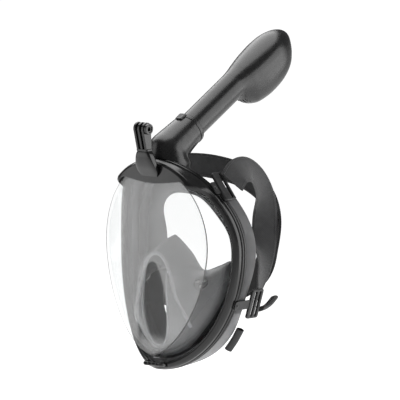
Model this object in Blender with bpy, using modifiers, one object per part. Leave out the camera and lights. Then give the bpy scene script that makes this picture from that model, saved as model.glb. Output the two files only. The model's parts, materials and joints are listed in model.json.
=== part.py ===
"""Full face snorkel mask: lens, frames, skirt, nose pocket, valves, snorkel, camera mount and straps.

Lengths in the constants are millimetres and every mesh is made in metres. +Z is up, the lens faces -Y,
+X is the wearer's left, and the origin is the middle of the opening that seals on the face.
"""
import math

import bmesh
import bpy
from mathutils import Matrix, Vector

MM = 0.001
STATIONS = 48                # sections round the mask's outline

# The mask's outline, seen from the front: two half ellipses that share the widest line.
FRAME_HALF_WIDTH = 92.0
FRAME_TOP = 119.0
FRAME_BOTTOM = -128.0
FRAME_WIDEST_Z = 10.0
# How far back the frame sweeps from the forehead to the temples and up again to the chin.
FOREHEAD_Y = -80.0           # the lens panel's middle, in front of the face opening
TOP_REAR = 13.0
CHIN_REAR = 22.0
TEMPLE_REAR = 61.0
# The flat front panel of the lens.
PANEL_HALF_WIDTH = 78.5
PANEL_TOP = 109.5
PANEL_BOTTOM = -109.0
PANEL_WIDEST_Z = 18.0
PANEL_TAPER = 1.72           # below 2 the lower half is more pointed than an ellipse
PANEL_BEND = 760.0           # twice the radius that the panel is bent to
LENS_THICKNESS = 2.4
# Depths in the frame's section, measured forward (-) from the rear frame's back face.
FRAME_SPLIT = -7.2
FLANGE_FRONT = -9.5
FLANGE_BACK = -7.5
LIP_FRONT = -17.6
LIP_INSET = 8.9
FLANGE_INSET = 6.0
REAR_RING_INSET = 11.0
GAP = 0.3
# The face seal.
SKIRT_DEPTH = 21.0
SKIRT_TOP_DEPTH = 42.0
OPENING_HALF_WIDTH = 50.0
OPENING_TOP = 74.0
OPENING_BOTTOM = -97.0
# The snorkel's axis.
TILT = math.radians(60.0)    # from vertical, leaning back
AXIS = Vector((0.0, math.sin(TILT), math.cos(TILT)))
REAR = Vector((0.0, math.cos(TILT), -math.sin(TILT)))     # square to the axis, to its rear side
RIM = Vector((0.0, FOREHEAD_Y + 67.0, 149.0))             # middle of the socket's rim
SOCKET_BORE = 14.8
TUBE_RADIUS = 16.0
SPIGOT_RADIUS = 14.3
SPIGOT_LENGTH = 25.0
TUBE_NECK_RADIUS = 14.5      # the part of the tube inside the dry top
TUBE_TOP = 151.0
DRY_TOP_START = 84.0
FLOAT_OFFSET = 25.5          # the float chamber's middle, behind the tube's axis
FLOAT_RADIUS = 9.3
# The one-way valves.
INHALE_VALVE_COLUMN = 7      # how many columns of the pocket's surface each valve is from the middle
CHIN_VALVE = Vector((0.0, FOREHEAD_Y + 8.2, -110.0))
DUCT_RADIUS = 5.4
DUCT_BORE = 4.0
DUCT_LIP = 2.8               # the smaller bore at the duct's lower end, which the exhale flap seats on
# The camera tongue: the size that action cameras share.
TONGUE_HEAD = Vector((0.0, FOREHEAD_Y - 16.0, 154.5))
TONGUE_RADIUS = 7.4
TONGUE_HALF_WIDTH = 7.7
TONGUE_GAP = 3.2
TONGUE_BORE = 2.6
# Straps and their anchors.
STRAP_WIDTH = 32.0
STRAP_THICKNESS = 1.6
TAIL_WIDTH = 12.0            # the strap's end is folded in and stitched
TAIL_THICKNESS = 4.8
UPPER_LUG_ANGLE = 46.0
LOWER_LUG_ANGLE = 115.8
SCREW_ANGLES = (22, 78, 142)
PIN_RADIUS = 1.3
PIN_HOLE = 1.6

for leftover in list(bpy.data.objects):
    bpy.data.objects.remove(leftover)


def new_collection(name):
    collection = bpy.data.collections.new(name)
    bpy.context.scene.collection.children.link(collection)
    return collection


PARTS = new_collection("full_face_snorkel")
CUTTERS = new_collection("cutters")


def finish(name, colour, roughness, metallic=0.0, transmission=0.0):
    material = bpy.data.materials.new(name)
    material.use_nodes = True
    shader = material.node_tree.nodes["Principled BSDF"]
    shader.inputs["Base Color"].default_value = (*colour, 1.0)
    shader.inputs["Roughness"].default_value = roughness
    shader.inputs["Metallic"].default_value = metallic
    shader.inputs["Transmission Weight"].default_value = transmission
    return material


CLEAR = finish("clear_polycarbonate", (0.92, 0.94, 0.95), 0.05, transmission=0.9)
BLACK = finish("black_plastic", (0.02, 0.02, 0.022), 0.3)
SATIN = finish("satin_black_plastic", (0.035, 0.035, 0.038), 0.42)
SILICONE = finish("black_silicone", (0.06, 0.06, 0.065), 0.55)
VALVE = finish("soft_valve_rubber", (0.3, 0.3, 0.3), 0.6)
WEBBING = finish("strap_webbing", (0.05, 0.05, 0.052), 0.85)
STEEL = finish("stainless_steel", (0.6, 0.6, 0.62), 0.3, metallic=1.0)
FOAM = finish("float_plastic", (0.8, 0.45, 0.08), 0.6)


# ---------------------------------------------------------------- making solids

def add_object(name, mesh, material, cutter=False):
    obj = bpy.data.objects.new(name, mesh)
    if cutter:
        CUTTERS.objects.link(obj)
        obj.hide_render = True
        obj.display_type = "WIRE"
    else:
        PARTS.objects.link(obj)
        mesh.materials.append(material)
    return obj


def solid(name, verts, faces, material, cutter=False, crease=40.0):
    """A closed mesh from points in millimetres, with its faces turned outward."""
    mesh = bpy.data.meshes.new(name)
    mesh.from_pydata([Vector(v) * MM for v in verts], [], faces)
    bm = bmesh.new()
    bm.from_mesh(mesh)
    bmesh.ops.recalc_face_normals(bm, faces=bm.faces)
    bm.to_mesh(mesh)
    bm.free()
    mesh.shade_smooth()
    mesh.set_sharp_from_angle(angle=math.radians(crease))
    return add_object(name, mesh, material, cutter)


def loft(name, rings, material, closed=False, cutter=False, crease=40.0):
    """Skin over rings with equal point counts: capped at both ends, or closed end to end."""
    count = len(rings[0])
    verts = [point for ring in rings for point in ring]
    faces = []
    for index in range(len(rings) if closed else len(rings) - 1):
        low = index * count
        high = (index + 1) % len(rings) * count
        for side in range(count):
            after = (side + 1) % count
            faces.append((low + side, low + after, high + after, high + side))
    if not closed:
        faces.append(tuple(reversed(range(count))))
        faces.append(tuple(range(len(verts) - count, len(verts))))
    return solid(name, verts, faces, material, cutter, crease)


def turned(name, profile, at, axis, material, sides=32, cutter=False, ring=False):
    """A profile of (radius, height) turned about an axis. It runs down the outer side; ring closes it."""
    mesh = bpy.data.meshes.new(name)
    edges = [(i, i + 1) for i in range(len(profile) - 1)]
    if ring:
        edges.append((len(profile) - 1, 0))
    mesh.from_pydata([(radius * MM, 0.0, height * MM) for radius, height in profile], edges, [])
    obj = add_object(name, mesh, material, cutter)
    obj.location = Vector(at) * MM
    obj.rotation_mode = "QUATERNION"
    obj.rotation_quaternion = Vector((0, 0, 1)).rotation_difference(Vector(axis))
    screw = obj.modifiers.new("turn", "SCREW")
    screw.steps = screw.render_steps = sides
    screw.use_merge_vertices = True
    screw.merge_threshold = 0.0001
    screw.use_smooth_shade = True
    return obj


def rod(name, at, axis, radius, start, end, material, sides=16, cutter=False):
    profile = [(0.0, end), (radius, end), (radius, start), (0.0, start)]
    return turned(name, profile, at, axis, material, sides, cutter)


def box(name, size, at, material, columns=None, bevel=0.0, cutter=False):
    """A block of the given size about a point; columns are the directions of its own X, Y and Z."""
    mesh = bpy.data.meshes.new(name)
    bm = bmesh.new()
    bmesh.ops.create_cube(bm, size=1.0)
    bmesh.ops.scale(bm, vec=Vector(size) * MM, verts=bm.verts)
    bm.to_mesh(mesh)
    bm.free()
    obj = add_object(name, mesh, material, cutter)
    if columns:
        obj.rotation_mode = "QUATERNION"
        obj.rotation_quaternion = Matrix([Vector(c) for c in columns]).transposed().to_quaternion()
    obj.location = Vector(at) * MM
    if bevel:
        round_edges(obj, bevel)
    return obj


def round_edges(obj, width, segments=2):
    bevel = obj.modifiers.new("edges", "BEVEL")
    bevel.width = width * MM
    bevel.segments = segments
    bevel.limit_method = "ANGLE"


def boolean(obj, tool, operation="DIFFERENCE"):
    modifier = obj.modifiers.new(tool.name, "BOOLEAN")
    modifier.operation = operation
    modifier.object = tool


def circle(centre, first, second, count):
    """Points round an ellipse with the given half axes."""
    return [centre + math.cos(a) * first + math.sin(a) * second
            for a in (2 * math.pi * k / count for k in range(count))]


def move_origin(obj, point):
    """Puts an object's origin on a point given in millimetres, and leaves its shape in place."""
    target = Vector(point) * MM
    turn = obj.rotation_euler.to_quaternion()
    if obj.rotation_mode == "QUATERNION":
        turn = obj.rotation_quaternion
    obj.data.transform(Matrix.Translation(turn.inverted() @ (obj.location - target)))
    obj.location = target


def smooth(value):
    value = min(1.0, max(0.0, value))
    return value * value * (3.0 - 2.0 * value)


def mix(a, b, share):
    return a + (b - a) * share


# ---------------------------------------------------------------- the mask's curves

def folded(angle):
    """The angle from the top of the mask in degrees, the same on both sides."""
    turn = math.degrees(angle) % 360.0
    return min(turn, 360.0 - turn)


def frame_outline(angle):
    cosine = math.cos(angle)
    length = FRAME_TOP - FRAME_WIDEST_Z if cosine > 0 else FRAME_WIDEST_Z - FRAME_BOTTOM
    x = FRAME_HALF_WIDTH * math.sin(angle)
    z = FRAME_WIDEST_Z + length * cosine
    normal = Vector((x / FRAME_HALF_WIDTH ** 2, 0.0, (z - FRAME_WIDEST_Z) / length ** 2)).normalized()
    return x, z, normal


def rear_edge(angle):
    """The Y of the rear frame's back face."""
    across = abs(math.sin(angle))
    if math.cos(angle) > 0:
        return FOREHEAD_Y + mix(TOP_REAR, TEMPLE_REAR, across ** 2)
    return FOREHEAD_Y + mix(CHIN_REAR, TEMPLE_REAR, across ** 1.2)


def rim_point(angle, inset, back):
    """A point of the frame's section: inset from the outline, back from the rear frame's back face."""
    x, z, normal = frame_outline(angle)
    return Vector((x, rear_edge(angle) + back, z)) - inset * normal


def panel_y(x):
    return FOREHEAD_Y + x * x / PANEL_BEND


def panel_point(angle, scale=1.0, back=0.0):
    cosine, sine = math.cos(angle), math.sin(angle)
    if cosine > 0:
        x = PANEL_HALF_WIDTH * sine
        z = PANEL_WIDEST_Z + (PANEL_TOP - PANEL_WIDEST_Z) * cosine
    else:
        power = 2.0 / PANEL_TAPER
        x = PANEL_HALF_WIDTH * math.copysign(abs(sine) ** power, sine)
        z = PANEL_WIDEST_Z - (PANEL_WIDEST_Z - PANEL_BOTTOM) * abs(cosine) ** power
    x, z = x * scale, PANEL_WIDEST_Z + (z - PANEL_WIDEST_Z) * scale
    return Vector((x, panel_y(x) + back, z))


ANGLES = [2 * math.pi * k / STATIONS for k in range(STATIONS)]


def swept(name, section, material, crease=40.0):
    """A ring round the mask whose section is a list of (inset, back) pairs for each angle."""
    rings = [[rim_point(angle, *pair) for pair in section(angle)] for angle in ANGLES]
    return loft(name, rings, material, closed=True, crease=crease)


# ---------------------------------------------------------------- lens and frames

def make_lens():
    """A flat panel with a crisp edge, side walls that run back, and a flange held by the frames."""
    thick = LENS_THICKNESS
    rings = [[panel_point(a, scale) for a in ANGLES] for scale in (0.12, 0.5, 0.85, 0.985, 1.0)]
    foot = [rim_point(a, 10.5, FLANGE_FRONT) for a in ANGLES]
    edge = rings[-1]
    for share in (0.07, 0.5):
        rings.append([mix(e, f, share) for e, f in zip(edge, foot)])
    rings.append(foot)
    rings.append([rim_point(a, FLANGE_INSET, FLANGE_FRONT) for a in ANGLES])
    rings.append([rim_point(a, FLANGE_INSET, FLANGE_BACK) for a in ANGLES])
    inner_foot = [rim_point(a, 10.5 + thick, FLANGE_BACK) for a in ANGLES]
    inner_edge = [panel_point(a, 0.965, thick) for a in ANGLES]
    rings.append(inner_foot)
    rings.append([mix(f, e, 0.5) for e, f in zip(inner_edge, inner_foot)])
    rings.append(inner_edge)
    for scale in (0.82, 0.48, 0.12):
        rings.append([panel_point(a, scale, thick) for a in ANGLES])
    lens = loft("lens", rings, CLEAR, crease=30.0)
    boolean(lens, rod("chin_hole", CHIN_VALVE, (0, 0, 1), 4.0, -8, 8, None, 20, cutter=True))


def front_section(angle):
    """The lip round the lens. At the brow it moves forward and covers the top of the panel."""
    degrees = folded(angle)
    x, z, normal = frame_outline(angle)
    rise = smooth((50.0 - degrees) / 12.0)
    lip = LIP_INSET
    if degrees < 34.0:
        brow_z = 90.0 + (x * 0.9) ** 2 / 455.0
        lip = max(lip, (z - brow_z) / normal.z)
    x_lip = x - lip * normal.x
    back = rear_edge(angle)
    front = mix(LIP_FRONT, panel_y(x) - 3.6 - back, rise)
    front_lip = mix(LIP_FRONT, panel_y(x_lip) - 3.6 - back, rise)
    rear_lip = mix(LIP_FRONT + 3.6, panel_y(x_lip) - 0.5 - back, rise)
    rear_wall = mix(LIP_FRONT + 4.1, panel_y(x - 8.6 * normal.x) - 0.5 - back, rise)
    return [(0.8, FRAME_SPLIT), (0.8, -11.5), (2.4, front + 2.6), (5.2, front), (lip - 1.0, front_lip),
            (lip, front_lip + 1.0), (lip, rear_lip), (8.4, rear_wall), (8.4, FLANGE_FRONT - GAP),
            (5.6, FLANGE_FRONT - GAP), (5.6, FRAME_SPLIT)]


def rear_section(angle):
    """The clamping ring, with a groove round its outer face."""
    return [(0.5, -6.9), (0.0, -5.6), (0.0, -4.4), (1.1, -3.8), (1.1, -3.0), (0.0, -2.4), (0.0, -0.7),
            (0.7, 0.0), (REAR_RING_INSET, 0.0), (REAR_RING_INSET, -5.0), (5.6, -5.0), (5.6, -6.9)]


def skirt_depth(angle):
    degrees = folded(angle)
    top = (SKIRT_TOP_DEPTH - SKIRT_DEPTH) * smooth((62.0 - degrees) / 55.0)
    cheek = 6.0 * smooth(1.0 - abs(degrees - 113.0) / 22.0)
    jaw = 6.0 * smooth(1.0 - abs(degrees - 152.0) / 30.0)
    return SKIRT_DEPTH + top - cheek + jaw


def opening_point(angle, thickness):
    """The edge of the opening for the face, which is squarer round the chin."""
    sine, cosine = math.sin(angle), math.cos(angle)
    length, power = (OPENING_TOP, 0.8) if cosine > 0 else (-OPENING_BOTTOM, 0.64)
    x = OPENING_HALF_WIDTH * math.copysign(abs(sine) ** power, sine)
    z = length * math.copysign(abs(cosine) ** power, cosine)
    return Vector((x, rear_edge(angle) + skirt_depth(angle) + thickness, z))


def skirt_ring(angle):
    """The silicone wall: a bead in the frame, a wrap round the rear ring, a fold and a face flap."""
    depth = skirt_depth(angle)
    side = [(6.0, -7.2), (12.9, -7.2), (12.9, 2.3), (6.5, 2.6), (4.0, 5.0), (3.4, depth * 0.6),
            (4.4, depth - 3.4), (8.0, depth - 0.9), None, None, (7.0, depth + 0.9), (2.6, depth - 2.0),
            (1.6, depth * 0.6), (2.0, 3.5), (4.2, 0.6), (11.3, 0.4), (11.3, -5.3), (6.0, -5.3)]
    top = [(6.0, -7.2), (12.9, -7.2), (12.9, 2.3), (13.3, 4.0), (14.4, 8.0), (18.8, depth * 0.5),
           (25.0, depth - 3.4), (29.0, depth - 0.9), None, None, (27.5, depth + 0.9), (23.2, depth - 2.0),
           (17.0, depth * 0.5), (12.6, 8.0), (11.6, 3.0), (11.3, 0.4), (11.3, -5.3), (6.0, -5.3)]
    share = smooth((50.0 - folded(angle)) / 25.0)
    ring = [rim_point(angle, mix(s[0], t[0], share), mix(s[1], t[1], share)) if s else None
            for s, t in zip(side, top)]
    ring[8] = opening_point(angle, -0.4)
    ring[9] = opening_point(angle, 0.9)
    return ring


def make_skirt():
    skirt = loft("face_skirt", [skirt_ring(a) for a in ANGLES], SILICONE, closed=True, crease=60.0)
    hole = rod("neck_hole", (0, FOREHEAD_Y + 27.0, 100), (0, 0, 1), 10.5, -14, 14, None, 24, cutter=True)
    boolean(skirt, hole)


def make_frames():
    front = swept("front_frame", front_section, BLACK)
    rear = swept("rear_frame", rear_section, BLACK)
    chin_notch = box("chin_notch", (30.8, 24.6, 18.0), (0, FOREHEAD_Y + 1.0, -113.6), None, cutter=True)
    boolean(front, chin_notch)
    for side in (-1, 1):
        for degrees in SCREW_ANGLES:
            add_frame_screw(front, rear, side, degrees)
    return rear


def add_frame_screw(front, rear, side, degrees):
    """A small screw from the back that clamps the two frames on the lens and the skirt."""
    name = "%s_%03d" % ("left" if side > 0 else "right", degrees)
    at = rim_point(math.radians(degrees) * side, 3.3, 0.0)
    back = Vector((0, 1, 0))
    boolean(rear, rod("head_seat_" + name, at, back, 2.0, -1.6, 3.0, None, 10, cutter=True))
    hole = rod("screw_hole_" + name, at, back, 1.3, -12.4, 3.0, None, 10, cutter=True)
    boolean(rear, hole)
    boolean(front, hole)
    profile = [(0, -0.4), (1.7, -0.4), (1.7, -1.3), (1.0, -1.3), (1.0, -12.0), (0, -12.0)]
    turned("frame_screw_" + name, profile, at, back, STEEL, 10)


# ---------------------------------------------------------------- nose pocket and valves

def curve_points(points, steps):
    """A smooth curve through a few points, with the given number of steps between neighbours."""
    points = [Vector(p) for p in points]
    padded = [2 * points[0] - points[1], *points, 2 * points[-1] - points[-2]]
    out = []
    for i in range(1, len(padded) - 2):
        p0, p1, p2, p3 = padded[i - 1:i + 3]
        for k in range(steps):
            u = k / steps
            out.append(0.5 * (2 * p1 + (p2 - p0) * u + (2 * p0 - 5 * p1 + 4 * p2 - p3) * u ** 2
                              + (3 * p1 - p0 - 3 * p2 + p3) * u ** 3))
    out.append(points[-1])
    return out


def mirrored_curve(half, steps):
    """A curve over both sides from the points of one side, which start on the middle plane."""
    other = [(-x, y, z) for x, y, z in reversed(half[1:])]
    return curve_points(other + list(half), steps)


# The pocket's front edge stands behind the panel; its rear edge follows the nose and the cheeks.
POCKET_FRONT = ((0, 6, 8), (12, 6, 2), (20, 7, -14), (27, 9, -40), (37, 13, -60), (41, 20, -76))
POCKET_REAR = ((0, 40, 26), (13, 54, 6), (24, 63, -15), (44, 68, -9), (64, 66, -2), (72, 62, -12))


def pocket_surface():
    """Points of the pocket's middle surface, as rows from the front edge to the rear edge."""
    front = [Vector((p.x, p.y + FOREHEAD_Y, p.z)) for p in mirrored_curve(POCKET_FRONT, 2)]
    rear = [Vector((p.x, p.y + FOREHEAD_Y, p.z)) for p in mirrored_curve(POCKET_REAR, 2)]
    rows = []
    for step in range(7):
        share = step / 6
        sag = math.sin(math.pi * share)
        rows.append([mix(f, r, share) + Vector((0, -3.0, 2.0)) * sag for f, r in zip(front, rear)])
    return rows


def make_nose_pocket():
    rows = pocket_surface()
    count = len(rows[0])
    verts = [p for row in rows for p in row]
    faces = [(r * count + c, r * count + c + 1, (r + 1) * count + c + 1, (r + 1) * count + c)
             for r in range(len(rows) - 1) for c in range(count - 1)]
    mesh = bpy.data.meshes.new("nose_pocket")
    mesh.from_pydata([v * MM for v in verts], [], faces)
    mesh.shade_smooth()
    pocket = add_object("nose_pocket", mesh, SILICONE)
    shell = pocket.modifiers.new("wall", "SOLIDIFY")
    shell.thickness = 1.6 * MM
    shell.offset = 0.0
    for side in (-1, 1):
        add_inhale_valve(pocket, rows, side)


def add_inhale_valve(pocket, rows, side):
    """A spoked seat in the pocket's wall and a flap on its mouth side that lifts as the wearer inhales."""
    name = "left" if side > 0 else "right"
    count = len(rows[0])
    column = (count - 1) // 2 + side * INHALE_VALVE_COLUMN
    at = rows[3][column]
    across = rows[3][column + 1] - rows[3][column - 1]
    along = rows[4][column] - rows[2][column]
    normal = across.cross(along).normalized()
    if normal.z > 0:
        normal = -normal
    boolean(pocket, rod("inhale_hole_" + name, at, normal, 9.2, -9, 9, None, 20, cutter=True))
    seat = rod("inhale_valve_seat_" + name, at, normal, 8.8, -1.4, 1.4, BLACK, 20)
    flat = normal.orthogonal().normalized()
    for third in range(3):
        spoke = Matrix.Rotation(2 * math.pi * third / 3, 3, normal) @ flat
        boolean(seat, rod("port_%s_%d" % (name, third), at + 4.4 * spoke, normal, 2.9, -4, 4, None, 10,
                          cutter=True))
    rod("inhale_flap_" + name, at, normal, 7.8, 1.7, 2.3, VALVE, 20)


def make_chin_valve():
    """A drain at the lowest point of the lens: seat, flap and slotted cover."""
    at = CHIN_VALVE
    down = Vector((0, 0, -1))
    seat_profile = [(5.0, 7.4), (5.0, 6.2), (3.7, 6.2), (3.7, -2.0), (2.2, -2.0), (2.2, 7.4)]
    turned("chin_valve_seat", seat_profile, at, (0, 0, 1), BLACK, 20, ring=True)
    rod("chin_valve_flap", at, down, 3.6, 2.4, 2.9, VALVE, 20)
    cover = box("chin_valve_cover", (30.0, 11.2, 5.0), (0, FOREHEAD_Y + 5.0, -119.8), BLACK, bevel=1.6)
    boolean(cover, box("cover_room", (26.0, 11.0, 4.4), (0, FOREHEAD_Y + 7.2, -118.4), None, cutter=True))
    for slot in range(4):
        x = -8.7 + 5.8 * slot
        boolean(cover, box("cover_slot_%d" % slot, (4.2, 8.0, 2.4), (x, FOREHEAD_Y - 0.5, -119.2), None,
                           cutter=True))


def make_exhale_duct(side):
    """A soft duct inside the skirt that carries breath from the mouth up to the snorkel's neck."""
    name = "left" if side > 0 else "right"
    steps = 9
    centres = []
    for k in range(steps + 1):
        degrees = 28 + 82 * k / steps
        inset = 22.0 if degrees < 55 else 16.0 + 6.0 * smooth((70 - degrees) / 15)
        centres.append(rim_point(math.radians(degrees) * side, inset, 9.0))

    def section(index, radius, back=0.0):
        tangent = (centres[min(index + 1, steps)] - centres[max(index - 1, 0)]).normalized()
        across = tangent.cross(Vector((0, 1, 0))).normalized()
        return circle(centres[index] - back * tangent, radius * across, radius * tangent.cross(across), 10)

    rings = [section(k, DUCT_RADIUS) for k in range(steps + 1)]
    rings += [section(steps, DUCT_LIP), section(steps, DUCT_LIP, 1.0), section(steps, DUCT_BORE, 1.0)]
    rings += [section(k, DUCT_BORE) for k in range(steps - 1, -1, -1)]
    loft("exhale_duct_" + name, rings, SILICONE, closed=True, crease=60.0)
    up = (centres[-2] - centres[-1]).normalized()
    rod("exhale_flap_" + name, centres[-1], up, 3.5, 1.3, 1.9, VALVE, 12)


# ---------------------------------------------------------------- snorkel socket and button

def make_socket():
    """A neck that stands astride the frame and narrows to the rim that holds the tube."""
    across = Vector((1, 0, 0))
    count = 24

    def ring(s, radius):
        return circle(RIM + s * AXIS, radius * across, radius * REAR, count)

    def base(half_x, half_y, z):
        return circle(Vector((0, FOREHEAD_Y + 27.0, z)), half_x * across, Vector((0, half_y, 0)), count)

    # The bend: its front stays upright to the height of the brow, and its rear turns at once.
    turns = (2 * math.pi * k / count for k in range(count))
    bend = [RIM + (11.5 * math.sin(a) - 44.5) * AXIS + 22.6 * (math.cos(a) * across + math.sin(a) * REAR)
            for a in turns]
    outer = [base(29.0, 24.5, 98.0), base(28.5, 24.2, 112.0), bend, ring(-20, 20.2), ring(-6, 19.0),
             ring(-5.2, 19.5), ring(-1.0, 19.4), ring(0, 18.6)]
    inner = [ring(0, SOCKET_BORE), ring(-27, SOCKET_BORE), ring(-28, 13.0), ring(-34, 17.0),
             base(23.0, 19.0, 112.0), base(23.0, 19.0, 98.0)]
    socket = loft("snorkel_socket", outer + inner, SATIN, closed=True)
    envelope = [(-0.45, 0.45), (-0.45, -61.0), (46.0, -61.0), (46.0, 60.0), (26.8, 43.2), (22.6, 40.3),
                (16.5, 21.0), (12.1, 8.2), (11.1, 3.0), (10.8, 0.4)]
    sector = [math.radians(-45 + 90 * k / 16) for k in range(17)]
    rings = [[rim_point(a, *pair) for pair in envelope] for a in sector]
    boolean(socket, loft("mask_envelope", rings, None, cutter=True))
    front = -REAR
    recess_at = RIM - 8.0 * AXIS + 21.2 * front
    columns = (across, AXIS, across.cross(AXIS))
    boolean(socket, box("button_recess", (9.6, 10.8, 10.0), recess_at, None, columns, cutter=True))


def make_release_button():
    """A sprung catch in the front of the socket's rim."""
    across = Vector((1, 0, 0))
    front = -REAR
    seat = RIM - 8.0 * AXIS
    columns = (across, AXIS, across.cross(AXIS))
    button = box("release_button", (8.8, 10.0, 3.4), seat + 19.9 * front, BLACK, columns)
    boolean(button, rod("spring_pocket", seat, front, 2.4, 10.0, 20.2, None, 16, cutter=True))
    round_edges(button, 0.7)
    move_origin(button, seat + 18.0 * front)
    turns, height, radius = 3, 1.7, 1.6
    count = 8 * turns
    second = front.cross(across)
    points = []
    for k in range(count + 1):
        a = 2 * math.pi * k / 8
        points.append(seat + (16.75 + height * k / count) * front + radius * (math.cos(a) * across
                                                                             + math.sin(a) * second))
    wire_curve("button_spring", points, 0.22, STEEL)


def wire_curve(name, points, radius, material, resolution=1):
    curve = bpy.data.curves.new(name, "CURVE")
    curve.dimensions = "3D"
    spline = curve.splines.new("POLY")
    spline.points.add(len(points) - 1)
    for target, point in zip(spline.points, points):
        target.co = (*(Vector(point) * MM), 1.0)
    curve.bevel_depth = radius * MM
    curve.bevel_resolution = resolution
    curve.use_fill_caps = True
    curve.materials.append(material)
    obj = bpy.data.objects.new(name, curve)
    PARTS.objects.link(obj)
    return obj


# ---------------------------------------------------------------- snorkel tube and dry top

def make_tube():
    profile = [(TUBE_NECK_RADIUS, TUBE_TOP), (TUBE_NECK_RADIUS, DRY_TOP_START),
               (TUBE_RADIUS, DRY_TOP_START - GAP), (TUBE_RADIUS, 1.4), (TUBE_RADIUS - 1.0, 0.4),
               (SPIGOT_RADIUS, 0.4), (SPIGOT_RADIUS, -10.6), (12.95, -10.6), (12.95, -13.4),
               (SPIGOT_RADIUS, -13.4), (SPIGOT_RADIUS, 2 - SPIGOT_LENGTH),
               (SPIGOT_RADIUS - 0.8, -SPIGOT_LENGTH), (12.0, -SPIGOT_LENGTH), (12.0, TUBE_TOP)]
    turned("snorkel_tube", profile, RIM, AXIS, SATIN, 24, ring=True)
    ring_profile = [(13.85 + 0.7 * math.cos(a), -12.0 + 0.7 * math.sin(a))
                    for a in (-2 * math.pi * k / 6 for k in range(6))]
    turned("spigot_o_ring", ring_profile, RIM, AXIS, VALVE, 20, ring=True)
    across = Vector((1, 0, 0))
    length = TUBE_TOP - 4.0 + SPIGOT_LENGTH - 3.0
    middle = RIM + (TUBE_TOP - 4.0 - length / 2) * AXIS
    box("airflow_divider", (23.0, length, 1.2), middle, SATIN, (across, AXIS, across.cross(AXIS)))


# Sections of the dry top: height, half width, front reach and rear reach.
DRY_TOP_OUTER = ((84.0, 16.0, 16.0, 16.0), (85.6, 17.6, 16.0, 21.0), (88.0, 19.6, 16.0, 26.0),
                 (92.0, 21.6, 16.0, 31.0), (98.0, 23.4, 16.2, 35.0), (106.0, 24.6, 17.0, 38.0),
                 (123.0, 25.5, 18.2, 40.0), (144.0, 25.0, 19.0, 38.4), (161.0, 22.8, 18.4, 33.0),
                 (174.0, 18.0, 15.8, 24.5), (183.0, 11.6, 10.8, 14.8), (187.0, 6.0, 6.0, 7.4),
                 (188.4, 2.0, 2.0, 2.4))
DRY_TOP_INNER = ((84.0, 14.8, 14.8, 14.8), (86.6, 15.2, 14.8, 17.0), (89.6, 17.6, 14.8, 23.4),
                 (93.6, 19.7, 14.8, 28.6), (99.0, 21.4, 14.8, 32.8), (106.6, 22.6, 15.0, 35.8),
                 (123.0, 23.5, 16.2, 38.0), (143.4, 23.0, 17.0, 36.4), (159.6, 21.0, 16.4, 31.2),
                 (172.0, 16.4, 14.0, 22.8), (180.6, 10.0, 9.2, 13.0), (184.6, 4.4, 4.4, 5.4),
                 (185.8, 1.6, 1.6, 1.8))


def dry_top_ring(section, count=24):
    height, half_width, front, rear = section
    points = []
    for k in range(count):
        a = 2 * math.pi * k / count
        reach = rear if math.sin(a) > 0 else front
        points.append(RIM + height * AXIS + half_width * math.cos(a) * Vector((1, 0, 0))
                      + reach * math.sin(a) * REAR)
    return points


def dry_top_solid(name, material, cutter=False):
    rings = [dry_top_ring(s) for s in reversed(DRY_TOP_OUTER)] + [dry_top_ring(s) for s in DRY_TOP_INNER]
    return loft(name, rings, material, cutter=cutter, crease=50.0)


def make_dry_top():
    """The bulb that keeps water out: shell, intake grille, float, its guide, seal and seat."""
    across = Vector((1, 0, 0))
    slope = (15.0 * REAR + 8.0 * AXIS).normalized()
    columns = (across, slope, across.cross(slope))
    intake = RIM + 88.2 * AXIS + 24.6 * REAR
    shell = dry_top_solid("dry_top_shell", SATIN)
    boolean(shell, box("intake_cut", (24.0, 11.0, 9.0), intake, None, columns, cutter=True))
    grille = dry_top_solid("intake_grille", BLACK)
    boolean(grille, box("grille_blank", (23.4, 10.4, 8.0), intake, None, columns, cutter=True), "INTERSECT")
    for slot in range(5):
        at = intake + (slot - 2) * 4.1 * across
        boolean(grille, box("intake_slot_%d" % slot, (2.0, 7.4, 16.0), at, None, columns, cutter=True))

    chamber = RIM + FLOAT_OFFSET * REAR
    plate = [dry_top_ring((height, 21.9, 16.3, 34.2)) for height in (146.0, 148.0)]
    seat = loft("float_seat", plate, BLACK)
    boolean(seat, rod("seat_tube_hole", RIM, AXIS, 14.9, 140, 155, None, 32, cutter=True))
    boolean(seat, rod("seat_port", chamber, AXIS, 6.4, 140, 155, None, 24, cutter=True))

    guide = rod("float_guide", chamber, AXIS, 8.6, 106.4, 108.0, BLACK, 24)
    for x in (-1, 1):
        for z in (-1, 1):
            at = chamber + x * 9.9 * across + z * 3.4 * REAR
            rail = rod("guide_rail_%d_%d" % (x, z), at, AXIS, 0.8, 106.4, 145.6, None, 8, cutter=True)
            boolean(guide, rail, "UNION")
    columns = (across, AXIS, across.cross(AXIS))
    bar = box("guide_bar", (20.6, 1.6, 8.0), chamber + 107.2 * AXIS, None, columns, cutter=True)
    boolean(guide, bar, "UNION")
    boolean(guide, rod("guide_drain", chamber, AXIS, 4.0, 100, 115, None, 16, cutter=True))

    body = [(0, 131.0), (7.4, 131.0), (FLOAT_RADIUS, 128.6), (FLOAT_RADIUS, 111.4), (7.0, 109.0), (0, 109.0)]
    turned("float", body, chamber, AXIS, FOAM, 24)
    seal = [(0, 133.4), (7.2, 133.4), (8.0, 132.6), (8.0, 131.3), (0, 131.3)]
    turned("float_seal", seal, chamber, AXIS, VALVE, 24)


# ---------------------------------------------------------------- camera mount

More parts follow.
